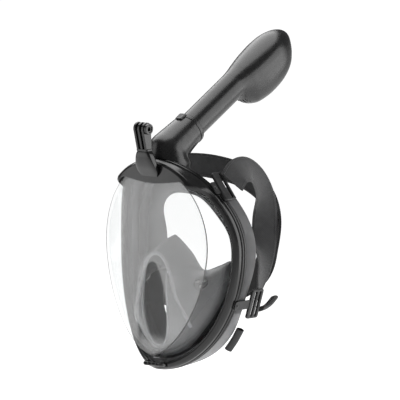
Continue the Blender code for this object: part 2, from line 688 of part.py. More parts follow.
def make_camera_mount():
    """A crest on the brow and a three prong tongue for an action camera, with a captive nut."""
    y = FOREHEAD_Y
    corners = []
    for side in (-1, 1):
        corners += [(side * 20, y - 4.1, 97), (side * 15, y - 4.1, 121), (side * 9, y - 7, 127.5),
                    (side * 9, y - 17.5, 127.5), (side * 11, y - 16, 106)]
    bm = bmesh.new()
    for corner in corners:
        bm.verts.new(Vector(corner) * MM)
    bmesh.ops.convex_hull(bm, input=bm.verts)
    mesh = bpy.data.meshes.new("brow_crest")
    bm.to_mesh(mesh)
    bm.free()
    crest = add_object("brow_crest", mesh, BLACK)
    round_edges(crest, 2.0)

    head = TONGUE_HEAD
    outline = [head + TONGUE_RADIUS * Vector((0, math.cos(a), math.sin(a)))
               for a in (math.radians(-25 + 230 * k / 14) for k in range(15))]
    outline += [Vector((0, y - 17.2, 129.9)), Vector((0, y - 8.2, 129.9))]
    rings = [[p + Vector((x, 0, 0)) for p in outline] for x in (-TONGUE_HALF_WIDTH, TONGUE_HALF_WIDTH)]
    mount = loft("camera_mount", rings, BLACK, crease=30.0)
    foot = box("mount_foot", (17.0, 10.4, 2.4), (0, y - 12.4, 129.2), None, cutter=True)
    boolean(mount, foot, "UNION")
    boss = rod("nut_boss", head, (1, 0, 0), 6.3, 5.0, 11.4, None, 24, cutter=True)
    boolean(mount, boss, "UNION")
    for side in (-1, 1):
        boolean(mount, box("prong_gap_%d" % side, (TONGUE_GAP, 40.0, 40.0), (side * 3.1, y - 14, 152.2), None,
                           cutter=True))
    boolean(mount, rod("mount_bore", head, (1, 0, 0), TONGUE_BORE, -20, 20, None, 16, cutter=True))
    boolean(mount, rod("nut_recess", head, (1, 0, 0), 4.75, 7.2, 14, None, 6, cutter=True))
    nut = rod("mount_nut", head, (1, 0, 0), 4.45, 7.5, 11.0, STEEL, 6)
    boolean(nut, rod("nut_thread", head, (1, 0, 0), 2.4, -20, 20, None, 16, cutter=True))


# ---------------------------------------------------------------- strap anchors and straps

def lug_frame(degrees, side):
    """The place on the frame's side, with the directions outward, backward and along the outline."""
    angle = math.radians(degrees) * side
    _, _, outward = frame_outline(angle)
    back = Vector((0, 1, 0))
    return angle, outward, back, outward.cross(back)


def make_upper_lug(rear, side):
    """A loop behind the frame for the strap's upper leg, on a thin arm pinned to the rear frame."""
    name = "left" if side > 0 else "right"
    angle, outward, back, along = lug_frame(UPPER_LUG_ANGLE, side)
    columns = (along, back, along.cross(back))
    middle = rim_point(angle, -2.4, 10.0)
    lug = box("upper_strap_lug_" + name, (38.0, 18.0, 3.6), middle, BLACK, columns, bevel=1.2)
    boolean(lug, box("upper_arm_" + name, (16.0, 12.0, 1.6), rim_point(angle, -1.4, -1.0), None, columns,
                     cutter=True), "UNION")
    slot = box("upper_slot_" + name, (33.0, 4.0, 12.0), middle + 3.2 * back, None, columns, cutter=True)
    boolean(lug, slot)
    add_lug_pin(rear, lug, "upper_lug_pin_" + name, rim_point(angle, 0.0, -2.7), outward)


def add_lug_pin(rear, lug, name, at, outward):
    boolean(rear, rod("hole_" + name, at, outward, PIN_HOLE, -5.0, 3.0, None, 12, cutter=True))
    boolean(lug, rod("bore_" + name, at, outward, PIN_HOLE, -3.0, 9.0, None, 12, cutter=True))
    rod(name, at, outward, PIN_RADIUS, -4.2, 2.6, STEEL, 12)


def make_lower_buckle(rear, side):
    """A ladder buckle behind the skirt for the strap's lower leg, on a thin arm pinned to the rear frame."""
    name = "left" if side > 0 else "right"
    angle, outward, back, along = lug_frame(LOWER_LUG_ANGLE, side)
    columns = (along, back, along.cross(back))
    middle = rim_point(angle, -1.2, 27.0)
    buckle = box("lower_buckle_" + name, (36.0, 19.0, 3.4), middle, BLACK, columns, bevel=1.1)
    boolean(buckle, box("lower_arm_" + name, (11.0, 28.0, 1.4), rim_point(angle, -1.2, 7.4), None, columns,
                        cutter=True), "UNION")
    for slot, shift in (("a", -2.6), ("b", 4.2)):
        boolean(buckle, box("lower_slot_%s_%s" % (slot, name), (31.0, 3.4, 12.0), middle + shift * back, None,
                            columns, cutter=True))
    add_lug_pin(rear, buckle, "lower_buckle_pin_" + name, rim_point(angle, 0.0, -2.8), outward)


def ribbon(name, points, normals, width, thickness, material, steps=3):
    """A flat band along a smooth curve; normals say which way its face looks at each given point."""
    centres = curve_points(points, steps)
    facing = curve_points(normals, steps)
    rings = []
    for k, centre in enumerate(centres):
        tangent = (centres[min(k + 1, len(centres) - 1)] - centres[max(k - 1, 0)]).normalized()
        normal = (facing[k] - facing[k].dot(tangent) * tangent).normalized()
        across = tangent.cross(normal) * (width / 2)
        face = normal * (thickness / 2)
        rings.append([centre + across + face, centre - across + face, centre - across - face,
                      centre + across - face])
    return loft(name, rings, material, crease=60.0)


# The left strap's middle line, from the upper lug over the back of the head to the lower buckle.
LEFT_STRAP = ((70, 60, 91), (67, 76, 102), (62, 100, 101), (56, 124, 84), (46, 143, 60), (40, 150, 34),
              (43, 146, 8), (56, 130, -13), (68, 110, -31), (79, 95, -45))
LEFT_FACING = ((0.78, 0.0, 0.63), (0.85, 0.0, 0.55), (0.88, 0.0, 0.45), (0.9, -0.1, 0.3),
               (0.88, -0.25, 0.15), (0.88, -0.35, 0.0), (0.88, -0.35, -0.1), (0.9, -0.2, -0.25),
               (0.9, 0.0, -0.35), (0.88, 0.1, -0.37))
# The right strap hangs slack, so its lower leg falls lower and laps behind the left strap's edge.
RIGHT_STRAP = ((-70, 60, 91), (-64, 86, 97), (-48, 114, 98), (-26, 138, 94), (0, 157, 84),
               (23, 169, 64), (34, 170, 38), (33, 166, 6), (25, 160, -26), (-2, 144, -47),
               (-36, 124, -56), (-64, 106, -54), (-79, 95, -46))
RIGHT_FACING = ((-0.7, 0.1, 0.7), (-0.75, 0.3, 0.6), (-0.65, 0.5, 0.5), (-0.5, 0.75, 0.4), (-0.2, 0.9, 0.3),
                (0.1, 1.0, 0.15), (0.15, 1.0, 0.0), (0.1, 1.0, -0.15), (0.0, 0.95, -0.3), (-0.3, 0.8, -0.45),
                (-0.6, 0.6, -0.45), (-0.8, 0.4, -0.4), (-0.88, 0.25, -0.35))


def shifted(points):
    return [(x, y + FOREHEAD_Y, z) for x, y, z in points]


def make_straps():
    ribbon("head_strap_left", shifted(LEFT_STRAP), LEFT_FACING, STRAP_WIDTH, STRAP_THICKNESS, WEBBING,
           steps=13)
    ribbon("head_strap_right", shifted(RIGHT_STRAP), RIGHT_FACING, STRAP_WIDTH, STRAP_THICKNESS, WEBBING)
    for side in (-1, 1):
        name = "left" if side > 0 else "right"
        tail = ((side * 82, 96, -58), (side * 82, 103, -57), (side * 81, 112, -54), (side * 80, 119, -50))
        facing = [(side * 0.35, 0.3, -0.9)] * 4
        ribbon("strap_tail_" + name, shifted(tail), facing, TAIL_WIDTH, TAIL_THICKNESS, WEBBING, steps=2)
        tip = ((side * 79.7, 120.4, -49.3), (side * 79, 123.2, -47.8))
        ribbon("strap_tip_" + name, shifted(tip), facing[:2], TAIL_WIDTH + 1.6, TAIL_THICKNESS + 1.6, BLACK,
               steps=1)
        tab = ((side * 75, 76, -80), (side * 66, 78, -93), (side * 55, 77, -104))
        out = [(side * 0.75, 0.2, -0.6)] * 3
        ribbon("skirt_pull_tab_" + name, shifted(tab), out, 9.0, 5.0, SILICONE, steps=2)
    patch = box("strap_stitched_patch", (7.0, 0.8, 12.0), (43.0, FOREHEAD_Y + 166.2, 36.0), WEBBING,
                ((0.99, -0.15, 0.0), (0.15, 0.99, 0.0), (0, 0, 1)))
    round_edges(patch, 0.6)


def build():
    make_lens()
    rear = make_frames()
    make_skirt()
    make_nose_pocket()
    make_chin_valve()
    make_socket()
    make_release_button()
    make_tube()
    make_dry_top()
    make_camera_mount()
    for side in (-1, 1):
        make_exhale_duct(side)
        make_upper_lug(rear, side)
        make_lower_buckle(rear, side)
    make_straps()


build()
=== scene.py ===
"""Full face snorkel mask: the visible model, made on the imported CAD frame. Lengths are millimetres until a
mesh is made; +Z is up, the lens faces -Y, +X is the wearer's left."""
import json
import math
import bmesh
import bpy
from mathutils import Matrix, Vector


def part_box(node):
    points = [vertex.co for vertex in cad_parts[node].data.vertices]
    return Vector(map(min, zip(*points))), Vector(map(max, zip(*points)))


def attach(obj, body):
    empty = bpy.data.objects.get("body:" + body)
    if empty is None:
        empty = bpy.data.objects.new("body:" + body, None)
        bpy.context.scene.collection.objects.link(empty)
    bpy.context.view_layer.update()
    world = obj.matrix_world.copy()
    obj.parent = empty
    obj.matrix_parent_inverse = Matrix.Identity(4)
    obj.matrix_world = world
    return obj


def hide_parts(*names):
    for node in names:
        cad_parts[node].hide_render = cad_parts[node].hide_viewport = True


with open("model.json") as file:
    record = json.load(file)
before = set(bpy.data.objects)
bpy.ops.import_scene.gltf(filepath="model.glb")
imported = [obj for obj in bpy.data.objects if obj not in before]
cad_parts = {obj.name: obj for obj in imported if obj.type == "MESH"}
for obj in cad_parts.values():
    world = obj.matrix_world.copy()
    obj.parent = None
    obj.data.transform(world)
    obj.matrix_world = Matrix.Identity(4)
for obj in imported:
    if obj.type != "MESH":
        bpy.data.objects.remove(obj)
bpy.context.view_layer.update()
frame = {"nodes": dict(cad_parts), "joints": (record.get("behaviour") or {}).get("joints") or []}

MM = 0.001
FINE = 160                                   # stations round the mask
FOREHEAD_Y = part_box("lens")[0][1] / MM       # the front panel's middle
SLIDES = {joint["name"]: joint for joint in frame["joints"]}
AXIS = Vector(SLIDES["snorkel_pull_off"]["axis"]).normalized()
REAR = Vector(SLIDES["button_press"]["axis"]).normalized()
ACROSS = Vector((1, 0, 0))
BACKWARD = Vector((0, 1, 0))
RIM = Vector((0.0, FOREHEAD_Y + 67.0, 149.0))   # middle of the socket's rim
LEVEL = ((1, 0, 0), (0, 1, 0), (0, 0, 1))
SIDES = ((-1, "right"), (1, "left"))
# The frame's outline, and how far back it sweeps.
HALF_WIDTH, WIDEST_Z, TOP_LENGTH, CHIN_LENGTH = 92.0, 10.0, 109.0, 138.0
TOP_REAR, TEMPLE_REAR, CHIN_REAR = 13.0, 61.0, 22.0
# The lens: its flat panel and the flange between the frames.
PANEL_HALF, PANEL_Z, PANEL_UP, PANEL_DOWN = 78.5, 18.0, 91.5, 127.0
PANEL_TAPER, PANEL_BEND, LENS_THICKNESS = 1.72, 760.0, 2.4
WALL_INSET, FLANGE_INSET, FLANGE_FRONT, FLANGE_BACK = 10.5, 6.0, -9.5, -7.5
SCREW_ANGLES, SCREW_INSET = (22, 78, 142), 3.3
# The face seal.
SKIRT_DEPTH, OPENING_HALF, OPENING_UP, OPENING_DOWN = 21.0, 50.0, 74.0, 97.0
POCKET_WALL, SHEET = 0.8, 1.4                # half the pocket wall's thickness, its front's thickness
# The snorkel.
SOCKET_BORE, TUBE_RADIUS, TUBE_BORE, SPIGOT, NECK = 14.8, 16.0, 12.0, 14.3, 14.5
INTAKE_SLOTS, INTAKE_PITCH = 5, 4.1
# The camera tongue.
TONGUE_RADIUS, TONGUE_BORE = 7.4, 2.6
# Straps and their anchors.
STRAP_WIDTH, STRAP_THICKNESS = 32.0, 1.6
UPPER_LUG_ANGLE, LOWER_LUG_ANGLE = 46.0, 115.8
STITCH_LINE, STITCH_LIFT = 13.2, 1.08        # from the strap's middle to its stitches, and above its middle

PLASTIC, RUBBER, TAPE, METAL = "black_plastic", "black_silicone", "strap_webbing", "stainless_steel"
COLLECTION = bpy.data.collections.new("full_face_snorkel_looks")
bpy.context.scene.collection.children.link(COLLECTION)


# ---------------------------------------------------------------- node materials

class Paint:
    """A material with a Principled shader, and short calls for the nodes that feed it."""

    def __init__(self, name, colour, roughness, **sockets):
        self.material = bpy.data.materials.new(name)
        self.material.use_nodes = True
        self.tree = self.material.node_tree
        self.shader = self.tree.nodes["Principled BSDF"]
        self.shader.inputs["Base Color"].default_value = (*colour, 1.0)
        self.shader.inputs["Roughness"].default_value = roughness
        for key, value in sockets.items():
            self.shader.inputs[key.replace("_", " ")].default_value = value
        self.place = self.node("ShaderNodeTexCoord").outputs["Object"]

    def node(self, kind, inputs=None, **settings):
        made = self.tree.nodes.new(kind)
        for key, value in settings.items():
            setattr(made, key, value)
        for key, value in (inputs or {}).items():
            if isinstance(value, bpy.types.NodeSocket):
                self.tree.links.new(value, made.inputs[key])
            else:
                made.inputs[key].default_value = value
        return made

    def noise(self, size_mm, detail=3.0, roughness=0.55, at=None):
        made = self.node("ShaderNodeTexNoise", {"Vector": at or self.place, "Scale": 1000.0 / size_mm,
                                                "Detail": detail, "Roughness": roughness})
        return made.outputs["Fac"]

    def stretched(self, *scale):
        return self.node("ShaderNodeMapping", {"Vector": self.place, "Scale": scale}).outputs["Vector"]

    def span(self, value, low, high, to_low=0.0, to_high=1.0):
        made = self.node("ShaderNodeMapRange", {"Value": value, "From Min": low, "From Max": high,
                                                "To Min": to_low, "To Max": to_high})
        return made.outputs["Result"]

    def math(self, operation, a, b=0.0, c=0.0):
        return self.node("ShaderNodeMath", {0: a, 1: b, 2: c}, operation=operation).outputs[0]

    def blend(self, share, a, b):
        return self.node("ShaderNodeMix", {"Factor": share, 6: a, 7: b}, data_type="RGBA").outputs[2]

    def split(self, vector):
        return self.node("ShaderNodeSeparateXYZ", {0: vector}).outputs

    def edges(self, radius_mm):
        """1 on sharp outer and inner edges, 0 on flat faces."""
        soft = self.node("ShaderNodeBevel", {"Radius": radius_mm * MM}, samples=4).outputs["Normal"]
        true = self.node("ShaderNodeNewGeometry").outputs["Normal"]
        dot = self.node("ShaderNodeVectorMath", {0: soft, 1: true}, operation="DOT_PRODUCT").outputs["Value"]
        return self.span(dot, 0.995, 0.86)

    def bumps(self, *layers):
        """Layers of (height socket, strength, distance in mm), one on another, into the shader's normal."""
        normal = None
        for height, strength, distance in layers:
            inputs = {"Height": height, "Strength": strength, "Distance": distance * MM}
            if normal is not None:
                inputs["Normal"] = normal
            normal = self.node("ShaderNodeBump", inputs).outputs["Normal"]
        self.feed("Normal", normal)

    def feed(self, key, socket):
        self.tree.links.new(socket, self.shader.inputs[key])


def grey(value):
    return (value, value, value * 1.03, 1.0)


def moulded(name, tone, worn, roughness, spread, grain_mm, grain, specular=0.5):
    """Moulded plastic: clouded tone, uneven gloss, fine grain, faint handling scratches, paler edges."""
    paint = Paint(name, (tone, tone, tone), roughness, Specular_IOR_Level=specular)
    cloud = paint.span(paint.noise(14.0, 4.0), 0.35, 0.65)
    base = paint.blend(cloud, grey(tone * 0.8), grey(tone * 1.25))
    rubbed = paint.span(paint.noise(2.2, 2.0), 0.35, 0.7, 0.25, 1.0)
    wear = paint.math("MULTIPLY", paint.edges(0.5), rubbed)
    paint.feed("Base Color", paint.blend(wear, base, grey(worn)))
    scratch = paint.span(paint.noise(0.9, 2.0, at=paint.stretched(1.0, 0.08, 0.35)), 0.6, 0.75)
    gloss = paint.span(paint.noise(6.0, 5.0), 0.3, 0.7, roughness - spread, roughness + spread)
    paint.feed("Roughness", paint.math("MULTIPLY_ADD", scratch, spread * 0.8, gloss))
    paint.bumps((paint.noise(grain_mm, 2.0), grain, 0.05), (paint.noise(26.0, 1.0), 0.12, 0.25),
                (scratch, 0.04, 0.02))
    return paint.material


def silicone(name, tone, roughness=0.5, sheen=0.15, lower=None, height=0.0):
    """Soft moulded silicone: matte, with flow marks, dust and fine grain, and a paler tone below a height
    that is painted light, standing in for the light thrown up from the floor.
    """
    paint = Paint(name, (tone, tone, tone), roughness, Sheen_Weight=sheen, Specular_IOR_Level=0.35,
                  Subsurface_Weight=0.04, Subsurface_Scale=0.002)
    cloud = paint.span(paint.noise(20.0, 3.0), 0.35, 0.65)
    base = paint.blend(cloud, grey(tone * 0.85), grey(tone * 1.15))
    if lower is not None:
        # Below the height the tone is paler: painted light for the floor's bounce on the lower skirt.
        painted_floor_light_tone = paint.blend(cloud, grey(lower * 0.9), grey(lower * 1.1))
        base = paint.blend(paint.span(paint.split(paint.place)[2], height, height - 0.0015), base, painted_floor_light_tone)
    dust = paint.span(paint.noise(1.2, 4.0, 0.7), 0.62, 0.8, 0.0, 0.35)
    paint.feed("Base Color", paint.blend(dust, base, grey(tone * 1.6 + 0.02)))
    paint.feed("Roughness", paint.span(paint.noise(9.0, 4.0), 0.3, 0.7, roughness - 0.08, roughness + 0.08))
    flow = paint.noise(7.0, 2.0, at=paint.stretched(1.0, 1.0, 0.25))
    paint.bumps((paint.noise(0.35, 2.0), 0.12, 0.04), (flow, 0.1, 0.3))
    return paint.material


def webbing(name, tone, flat=False):
    """Woven polyester tape: rows of yarn that pass over and under, with selvedges and loose fibres."""
    paint = Paint(name, (tone, tone, tone), 0.8, Sheen_Weight=0.35, Sheen_Roughness=0.45,
                  Specular_IOR_Level=0.25)
    at = paint.place if flat else paint.node("ShaderNodeUVMap", uv_map="UVMap").outputs["UV"]
    along, across, upright = paint.split(at)
    across = upright if flat else across
    rows = paint.math("MULTIPLY", along, math.pi / 0.0011)
    yarns = paint.math("MULTIPLY", across, math.pi / 0.0013)
    over = paint.math("MULTIPLY", paint.math("SINE", rows), paint.math("SINE", yarns))
    weave = paint.math("MULTIPLY_ADD", over, 0.5, paint.math("ABSOLUTE", paint.math("SINE", yarns)))
    selvedge = paint.span(paint.math("ABSOLUTE", across), 0.0150, 0.0156)
    cloud = paint.span(paint.noise(9.0, 4.0), 0.3, 0.7)
    base = paint.blend(cloud, grey(tone * 0.82), grey(tone * 1.18))
    # The weave's low points are darkened to 0.45 of the tone: painted shade between the yarns.
    deep = paint.blend(paint.span(weave, 0.0, 0.6), grey(tone * 0.45), base)
    lint = paint.span(paint.noise(0.8, 3.0, 0.7, at=paint.stretched(0.3, 1.0, 1.0)), 0.66, 0.8, 0.0, 0.5)
    paint.feed("Base Color", paint.blend(lint, deep, grey(tone * 2.2)))
    paint.feed("Roughness", paint.span(weave, 0.0, 1.2, 0.9, 0.68))
    paint.bumps((weave, 0.55, 0.22), (paint.math("SUBTRACT", 1.0, selvedge), 0.3, 0.25),
                (paint.noise(0.25, 2.0), 0.3, 0.06))
    return paint.material


def thread(name, tone):
    paint = Paint(name, (tone, tone, tone), 0.65, Sheen_Weight=0.3)
    twist = paint.node("ShaderNodeTexWave", {"Vector": paint.place, "Scale": 900.0, "Distortion": 1.0},
                       bands_direction="DIAGONAL").outputs["Fac"]
    # The colour follows the twist's height: painted shade in its grooves and painted highlight on its crests.
    paint.feed("Base Color", paint.blend(twist, grey(tone * 0.6), grey(tone * 1.3)))
    paint.bumps((twist, 0.5, 0.08),)
    return paint.material


def steel(name):
    paint = Paint(name, (0.6, 0.6, 0.61), 0.28, Metallic=1.0)
    brushed = paint.noise(0.5, 3.0, at=paint.stretched(1.0, 0.06, 1.0))
    paint.feed("Base Color", paint.blend(paint.span(paint.noise(5.0), 0.3, 0.7), grey(0.5), grey(0.68)))
    paint.feed("Roughness", paint.span(brushed, 0.3, 0.7, 0.2, 0.4))
    paint.bumps((brushed, 0.08, 0.02),)
    return paint.material


def clear(name, haze, tone=0.95, arch=False, polish=0.7):
    """Clear polycarbonate: a share of haze, a polished reflection, and the rest passes straight through.
    An arch over the nose and mouth is left free of haze."""
    paint = Paint(name, (tone, tone, tone), 0.12, Specular_IOR_Level=0.0)
    cloud = paint.span(paint.noise(60.0, 2.0), 0.3, 0.7, haze * 0.94, haze * 1.06)
    if arch:
        x, _, z = paint.split(paint.place)
        half = paint.math("SQRT", paint.math("MAXIMUM", paint.span(z, 0.000, -0.052), 0.0))
        side = paint.math("DIVIDE", paint.math("ABSOLUTE", x), paint.math("MAXIMUM", half, 0.02))
        inside = paint.math("MULTIPLY", paint.span(side, 0.0245, 0.0205), paint.span(z, 0.001, -0.003))
        inside = paint.math("MULTIPLY", inside, paint.span(z, -0.098, -0.084))
        cloud = paint.math("MULTIPLY", cloud, paint.math("MULTIPLY_ADD", inside, -0.94, 1.0))
    see = paint.node("ShaderNodeBsdfTransparent", {"Color": (0.985, 0.99, 0.99, 1.0)})
    misty = paint.node("ShaderNodeMixShader", {0: cloud, 1: see.outputs[0], 2: paint.shader.outputs[0]})
    facing = paint.node("ShaderNodeLayerWeight", {"Blend": 0.5}).outputs["Facing"]
    fresnel = paint.math("MULTIPLY_ADD", paint.math("POWER", facing, 5.0), 0.96, 0.04)
    mirror = paint.node("ShaderNodeBsdfGlossy", {"Color": (1, 1, 1, 1), "Roughness": 0.035})
    share = paint.math("MULTIPLY", fresnel, polish)
    top = paint.node("ShaderNodeMixShader", {0: share, 1: misty.outputs[0], 2: mirror.outputs[0]})
    paint.tree.links.new(top.outputs[0], paint.tree.nodes["Material Output"].inputs["Surface"])
    return paint.material


PANEL = clear("lens_panel", 0.17, arch=True, polish=0.4)
# A dark grey band round the panel's edge: painted shade for the line that the edge's refraction draws.
PANEL_EDGE_PAINTED_SHADE = clear("lens_panel_edge_painted_shade", 0.85, tone=0.12)
WALL = clear("lens_wall", 0.012, polish=0.5)
FLANGE = clear("lens_flange", 0.2, tone=0.2)
GLOSS = moulded("black_plastic", 0.008, 0.04, 0.2, 0.05, 0.5, 0.05)
SATIN = moulded("satin_black_plastic", 0.010, 0.045, 0.28, 0.05, 0.3, 0.12)
FINE_MATT = moulded("textured_black_plastic", 0.02, 0.07, 0.46, 0.06, 0.35, 0.3)
# The lower tone and height paint the chin paler: painted light from the floor below.
SKIRT = silicone("skirt_silicone", 0.075, 0.44, lower=0.17, height=-0.060)
# The skirt's inner faces take a paler copy of its silicone: painted light for the light that reaches them
# through the lens.
SKIRT_INNER_PAINTED_LIGHT = silicone("skirt_inner_painted_light_silicone", 0.13, 0.44, lower=0.15, height=-0.060)
POCKET = silicone("pocket_silicone", 0.125, 0.38)
# A paler copy of the pocket silicone for the rolled rims: painted highlight along their edges.
RIM_PAINTED_HIGHLIGHT_SILICONE = silicone("pocket_rim_painted_highlight_silicone", 0.27, 0.22, 0.05)
TAB = silicone("tab_silicone", 0.03, 0.45, 0.05)
# A near-black silicone laid on insides: painted shade for the dark inside of the pocket and of the tabs' open
# ends.
PAINTED_SHADE_SILICONE = silicone("painted_shade_silicone", 0.008, 0.7, 0.0)
DARK_SILICONE = silicone("dark_silicone", 0.02, 0.42, 0.05)
VALVE = silicone("soft_valve_rubber", 0.62, 0.45, 0.1)
WEBBING = webbing("strap_webbing", 0.042)
WEBBING_FLAT = webbing("patch_webbing", 0.05, flat=True)
THREAD = thread("strap_thread", 0.06)
STEEL = steel("stainless_steel")
BLACKED = moulded("blacked_steel", 0.012, 0.05, 0.35, 0.05, 0.4, 0.08, specular=0.6)
FLOAT = moulded("float_plastic", 0.25, 0.35, 0.5, 0.06, 0.6, 0.3)


# ---------------------------------------------------------------- mesh helpers

def smooth(value):
    value = min(1.0, max(0.0, value))
    return value * value * (3.0 - 2.0 * value)


def mix(a, b, share):
    return a + (b - a) * share


def bent(value, power):
    return math.copysign(abs(value) ** power, value)


def turns(count):
    return [2 * math.pi * k / count for k in range(count)]


def disc(radius, count, at=(0.0, 0.0)):
    """A circle as 2D points."""
    return [(at[0] + radius * math.cos(a), at[1] + radius * math.sin(a)) for a in turns(count)]


def hoop(centre, first, second, count):
    """An ellipse in space, from its two half axes."""
    return [centre + math.cos(a) * first + math.sin(a) * second for a in turns(count)]


def outward_faces(mesh, weld=False):
    bm = bmesh.new()
    bm.from_mesh(mesh)
    if weld:
        bmesh.ops.remove_doubles(bm, verts=bm.verts, dist=1e-6)
    bmesh.ops.recalc_face_normals(bm, faces=bm.faces)
    bm.to_mesh(mesh)
    bm.free()


def make(name, verts, faces, materials, nodes=(), body="mask", sharp=35.0, bands=None, uvs=None,
         weighted=True):
    """A piece from points in millimetres: rides on a body, stands for CAD nodes."""
    mesh = bpy.data.meshes.new(name)
    mesh.from_pydata([Vector(v) * MM for v in verts], [], faces)
    for material in materials:
        mesh.materials.append(material)
    if bands:
        mesh.polygons.foreach_set("material_index", bands)
    if uvs:
        layer = mesh.uv_layers.new(name="UVMap")
        for loop in mesh.loops:
            layer.data[loop.index].uv = uvs[loop.vertex_index]
    outward_faces(mesh)
    return finish_piece(name, mesh, nodes, body, sharp, weighted)


def finish_piece(name, mesh, nodes, body, sharp, weighted=True):
    mesh.shade_smooth()
    mesh.set_sharp_from_angle(angle=math.radians(sharp))
    obj = bpy.data.objects.new(name, mesh)
    COLLECTION.objects.link(obj)
    if weighted:
        obj.modifiers.new("shading", "WEIGHTED_NORMAL").keep_sharp = True
    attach(obj, body)
    if nodes:
        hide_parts(*nodes)
    return obj


def skin(rings, closed=False, bands=None):
    """Vertices, faces and one band number per face for rings of equal point counts."""
    count = len(rings[0])
    verts = [p for ring in rings for p in ring]
    faces, marks = [], []
    for index in range(len(rings) if closed else len(rings) - 1):
        low, high = index * count, (index + 1) % len(rings) * count
        for side in range(count):
            after = (side + 1) % count
            faces.append((low + side, low + after, high + after, high + side))
            marks.append(bands[index] if bands else 0)
    if not closed:
        faces += [tuple(reversed(range(count))), tuple(range(len(verts) - count, len(verts)))]
        marks += [marks[0], marks[-1]]
    return verts, faces, marks


def loft(name, rings, materials, nodes=(), body="mask", closed=False, sharp=35.0, bands=None,
         weighted=True):
    verts, faces, marks = skin(rings, closed, bands)
    return make(name, verts, faces, materials, nodes, body, sharp, marks if bands else None,
                weighted=weighted)


def striped(name, rings, materials, second, nodes=(), closed=False, sharp=60.0):
    """A loft whose columns in the range second take the second material."""
    verts, faces, _ = skin(rings, closed)
    per = len(rings[0])
    return make(name, verts, faces, materials, nodes, sharp=sharp,
                bands=[int(k % per in second) for k in range(len(faces))], weighted=False)


def rounded(section, radius):
    """Rounds the corners of a closed section of 2D points."""
    out = []
    count, steps = len(section), 3
    for i in range(count):
        a, p, b = (Vector(section[(i + k) % count]) for k in (-1, 0, 1))
        before, after = a - p, b - p
        cut = min(radius, 0.42 * before.length, 0.42 * after.length)
        start, end = p + before.normalized() * cut, p + after.normalized() * cut
        for k in range(steps + 1):
            u = k / steps
            out.append(start * (1 - u) ** 2 + p * 2 * u * (1 - u) + end * u * u)
    return out


def turned(name, profile, at, axis, materials, nodes=(), slot=None, body="mask", sides=64, ring=False):
    """A profile of (radius, height) turned about an axis; ring closes the profile on itself."""
    turn = Vector((0, 0, 1)).rotation_difference(Vector(axis))
    rings = [[Vector(at) + turn @ Vector((x, y, height)) for x, y in disc(max(radius, 0.001), sides)]
             for radius, height in profile]
    return loft(name, rings, materials, nodes, body, closed=ring)


def curve_points(points, steps):
    """A smooth curve through every point."""
    points = [Vector(p) for p in points]
    padded = [2 * points[0] - points[1], *points, 2 * points[-1] - points[-2]]
    out = []
    for i in range(1, len(padded) - 2):
        p0, p1, p2, p3 = padded[i - 1:i + 3]
        for k in range(steps):
            u = k / steps
            out.append(0.5 * (2 * p1 + (p2 - p0) * u + (2 * p0 - 5 * p1 + 4 * p2 - p3) * u ** 2
                              + (3 * p1 - p0 - 3 * p2 + p3) * u ** 3))
    out.append(points[-1])
    return out


def tuple_curve(stations, steps):
    """The same for rows of four numbers."""
    lows = curve_points([s[:3] for s in stations], steps)
    highs = curve_points([(s[0], s[1], s[3]) for s in stations], steps)
    return [(p.x, p.y, p.z, q.z) for p, q in zip(lows, highs)]


def tangent_at(points, k):
    return (points[min(k + 1, len(points) - 1)] - points[max(k - 1, 0)]).normalized()


def curve_frames(points, normals, steps):
    """Middle, outward, sideways and forward directions along a curve; normals say which way it faces."""
    centres, facing = curve_points(points, steps), curve_points(normals, steps)
    frames = []
    for k, centre in enumerate(centres):
        tangent = tangent_at(centres, k)
        normal = (facing[k] - facing[k].dot(tangent) * tangent).normalized()
        frames.append((centre, normal, tangent.cross(normal), tangent))
    return frames


def slab(name, outline, low, high, columns, at, material, nodes=(), body="mask", holes=(),
         edge=0.8):
    """A plate with rounded edges from a 2D outline, with 2D holes, laid out in the given directions."""
    curve = bpy.data.curves.new(name, "CURVE")
    curve.dimensions = "2D"
    curve.fill_mode = "BOTH"
    for line in (outline, *holes):
        spline = curve.splines.new("POLY")
        spline.points.add(len(line) - 1)
        for target, point in zip(spline.points, line):
            target.co = (point[0] * MM, point[1] * MM, 0.0, 1.0)
        spline.use_cyclic_u = True
    curve.extrude = ((high - low) / 2 - edge) * MM
    curve.bevel_depth = edge * MM
    curve.bevel_resolution = 3
    curve.offset = -edge * MM
    scratch = bpy.data.objects.new(name, curve)
    bpy.context.scene.collection.objects.link(scratch)
    bpy.context.view_layer.update()
    mesh = bpy.data.meshes.new_from_object(scratch.evaluated_get(bpy.context.evaluated_depsgraph_get()))
    bpy.data.objects.remove(scratch)
    spin = Matrix([Vector(c) for c in columns]).transposed().to_4x4()
    middle = Vector(at) + spin @ Vector((0, 0, (low + high) / 2))
    mesh.transform(Matrix.Translation(middle * MM) @ spin)
    mesh.materials.clear()
    mesh.materials.append(material)
    outward_faces(mesh, weld=True)
    return finish_piece(name, mesh, nodes, body, 40.0)


def oval(width, height, corner, at=(0, 0), steps=6):
    """A rounded rectangle as 2D points."""
    out = []
    for sx, sy, first in ((1, 1, 0), (-1, 1, 90), (-1, -1, 180), (1, -1, 270)):
        for k in range(steps + 1):
            a = math.radians(first + 90 * k / steps)
            out.append((at[0] + sx * (width / 2 - corner) + corner * math.cos(a),
                        at[1] + sy * (height / 2 - corner) + corner * math.sin(a)))
    return out


def joined(name, parts, materials, nodes=(), body="mask", sharp=180.0):
    """One piece from several (verts, faces) lists."""
    verts, faces = [], []
    for more, polygons in parts:
        base = len(verts)
        verts += more
        faces += [tuple(i + base for i in face) for face in polygons]
    return make(name, verts, faces, materials, nodes, body, sharp)


def grain_of_rice(start, end, lift):
    """One stitch: a short rounded thread between two points, bulging outward in its middle."""
    side = (end - start).normalized().cross(lift).normalized()
    rings = []
    for k in range(5):
        u = k / 4
        centre = mix(start, end, u) + lift * (0.25 * math.sin(math.pi * u))
        r = 0.28 * (0.35 + 0.65 * math.sin(math.pi * min(max(u, 0.12), 0.88)))
        rings.append(hoop(centre, r * side, r * lift, 6))
    return skin(rings)[:2]


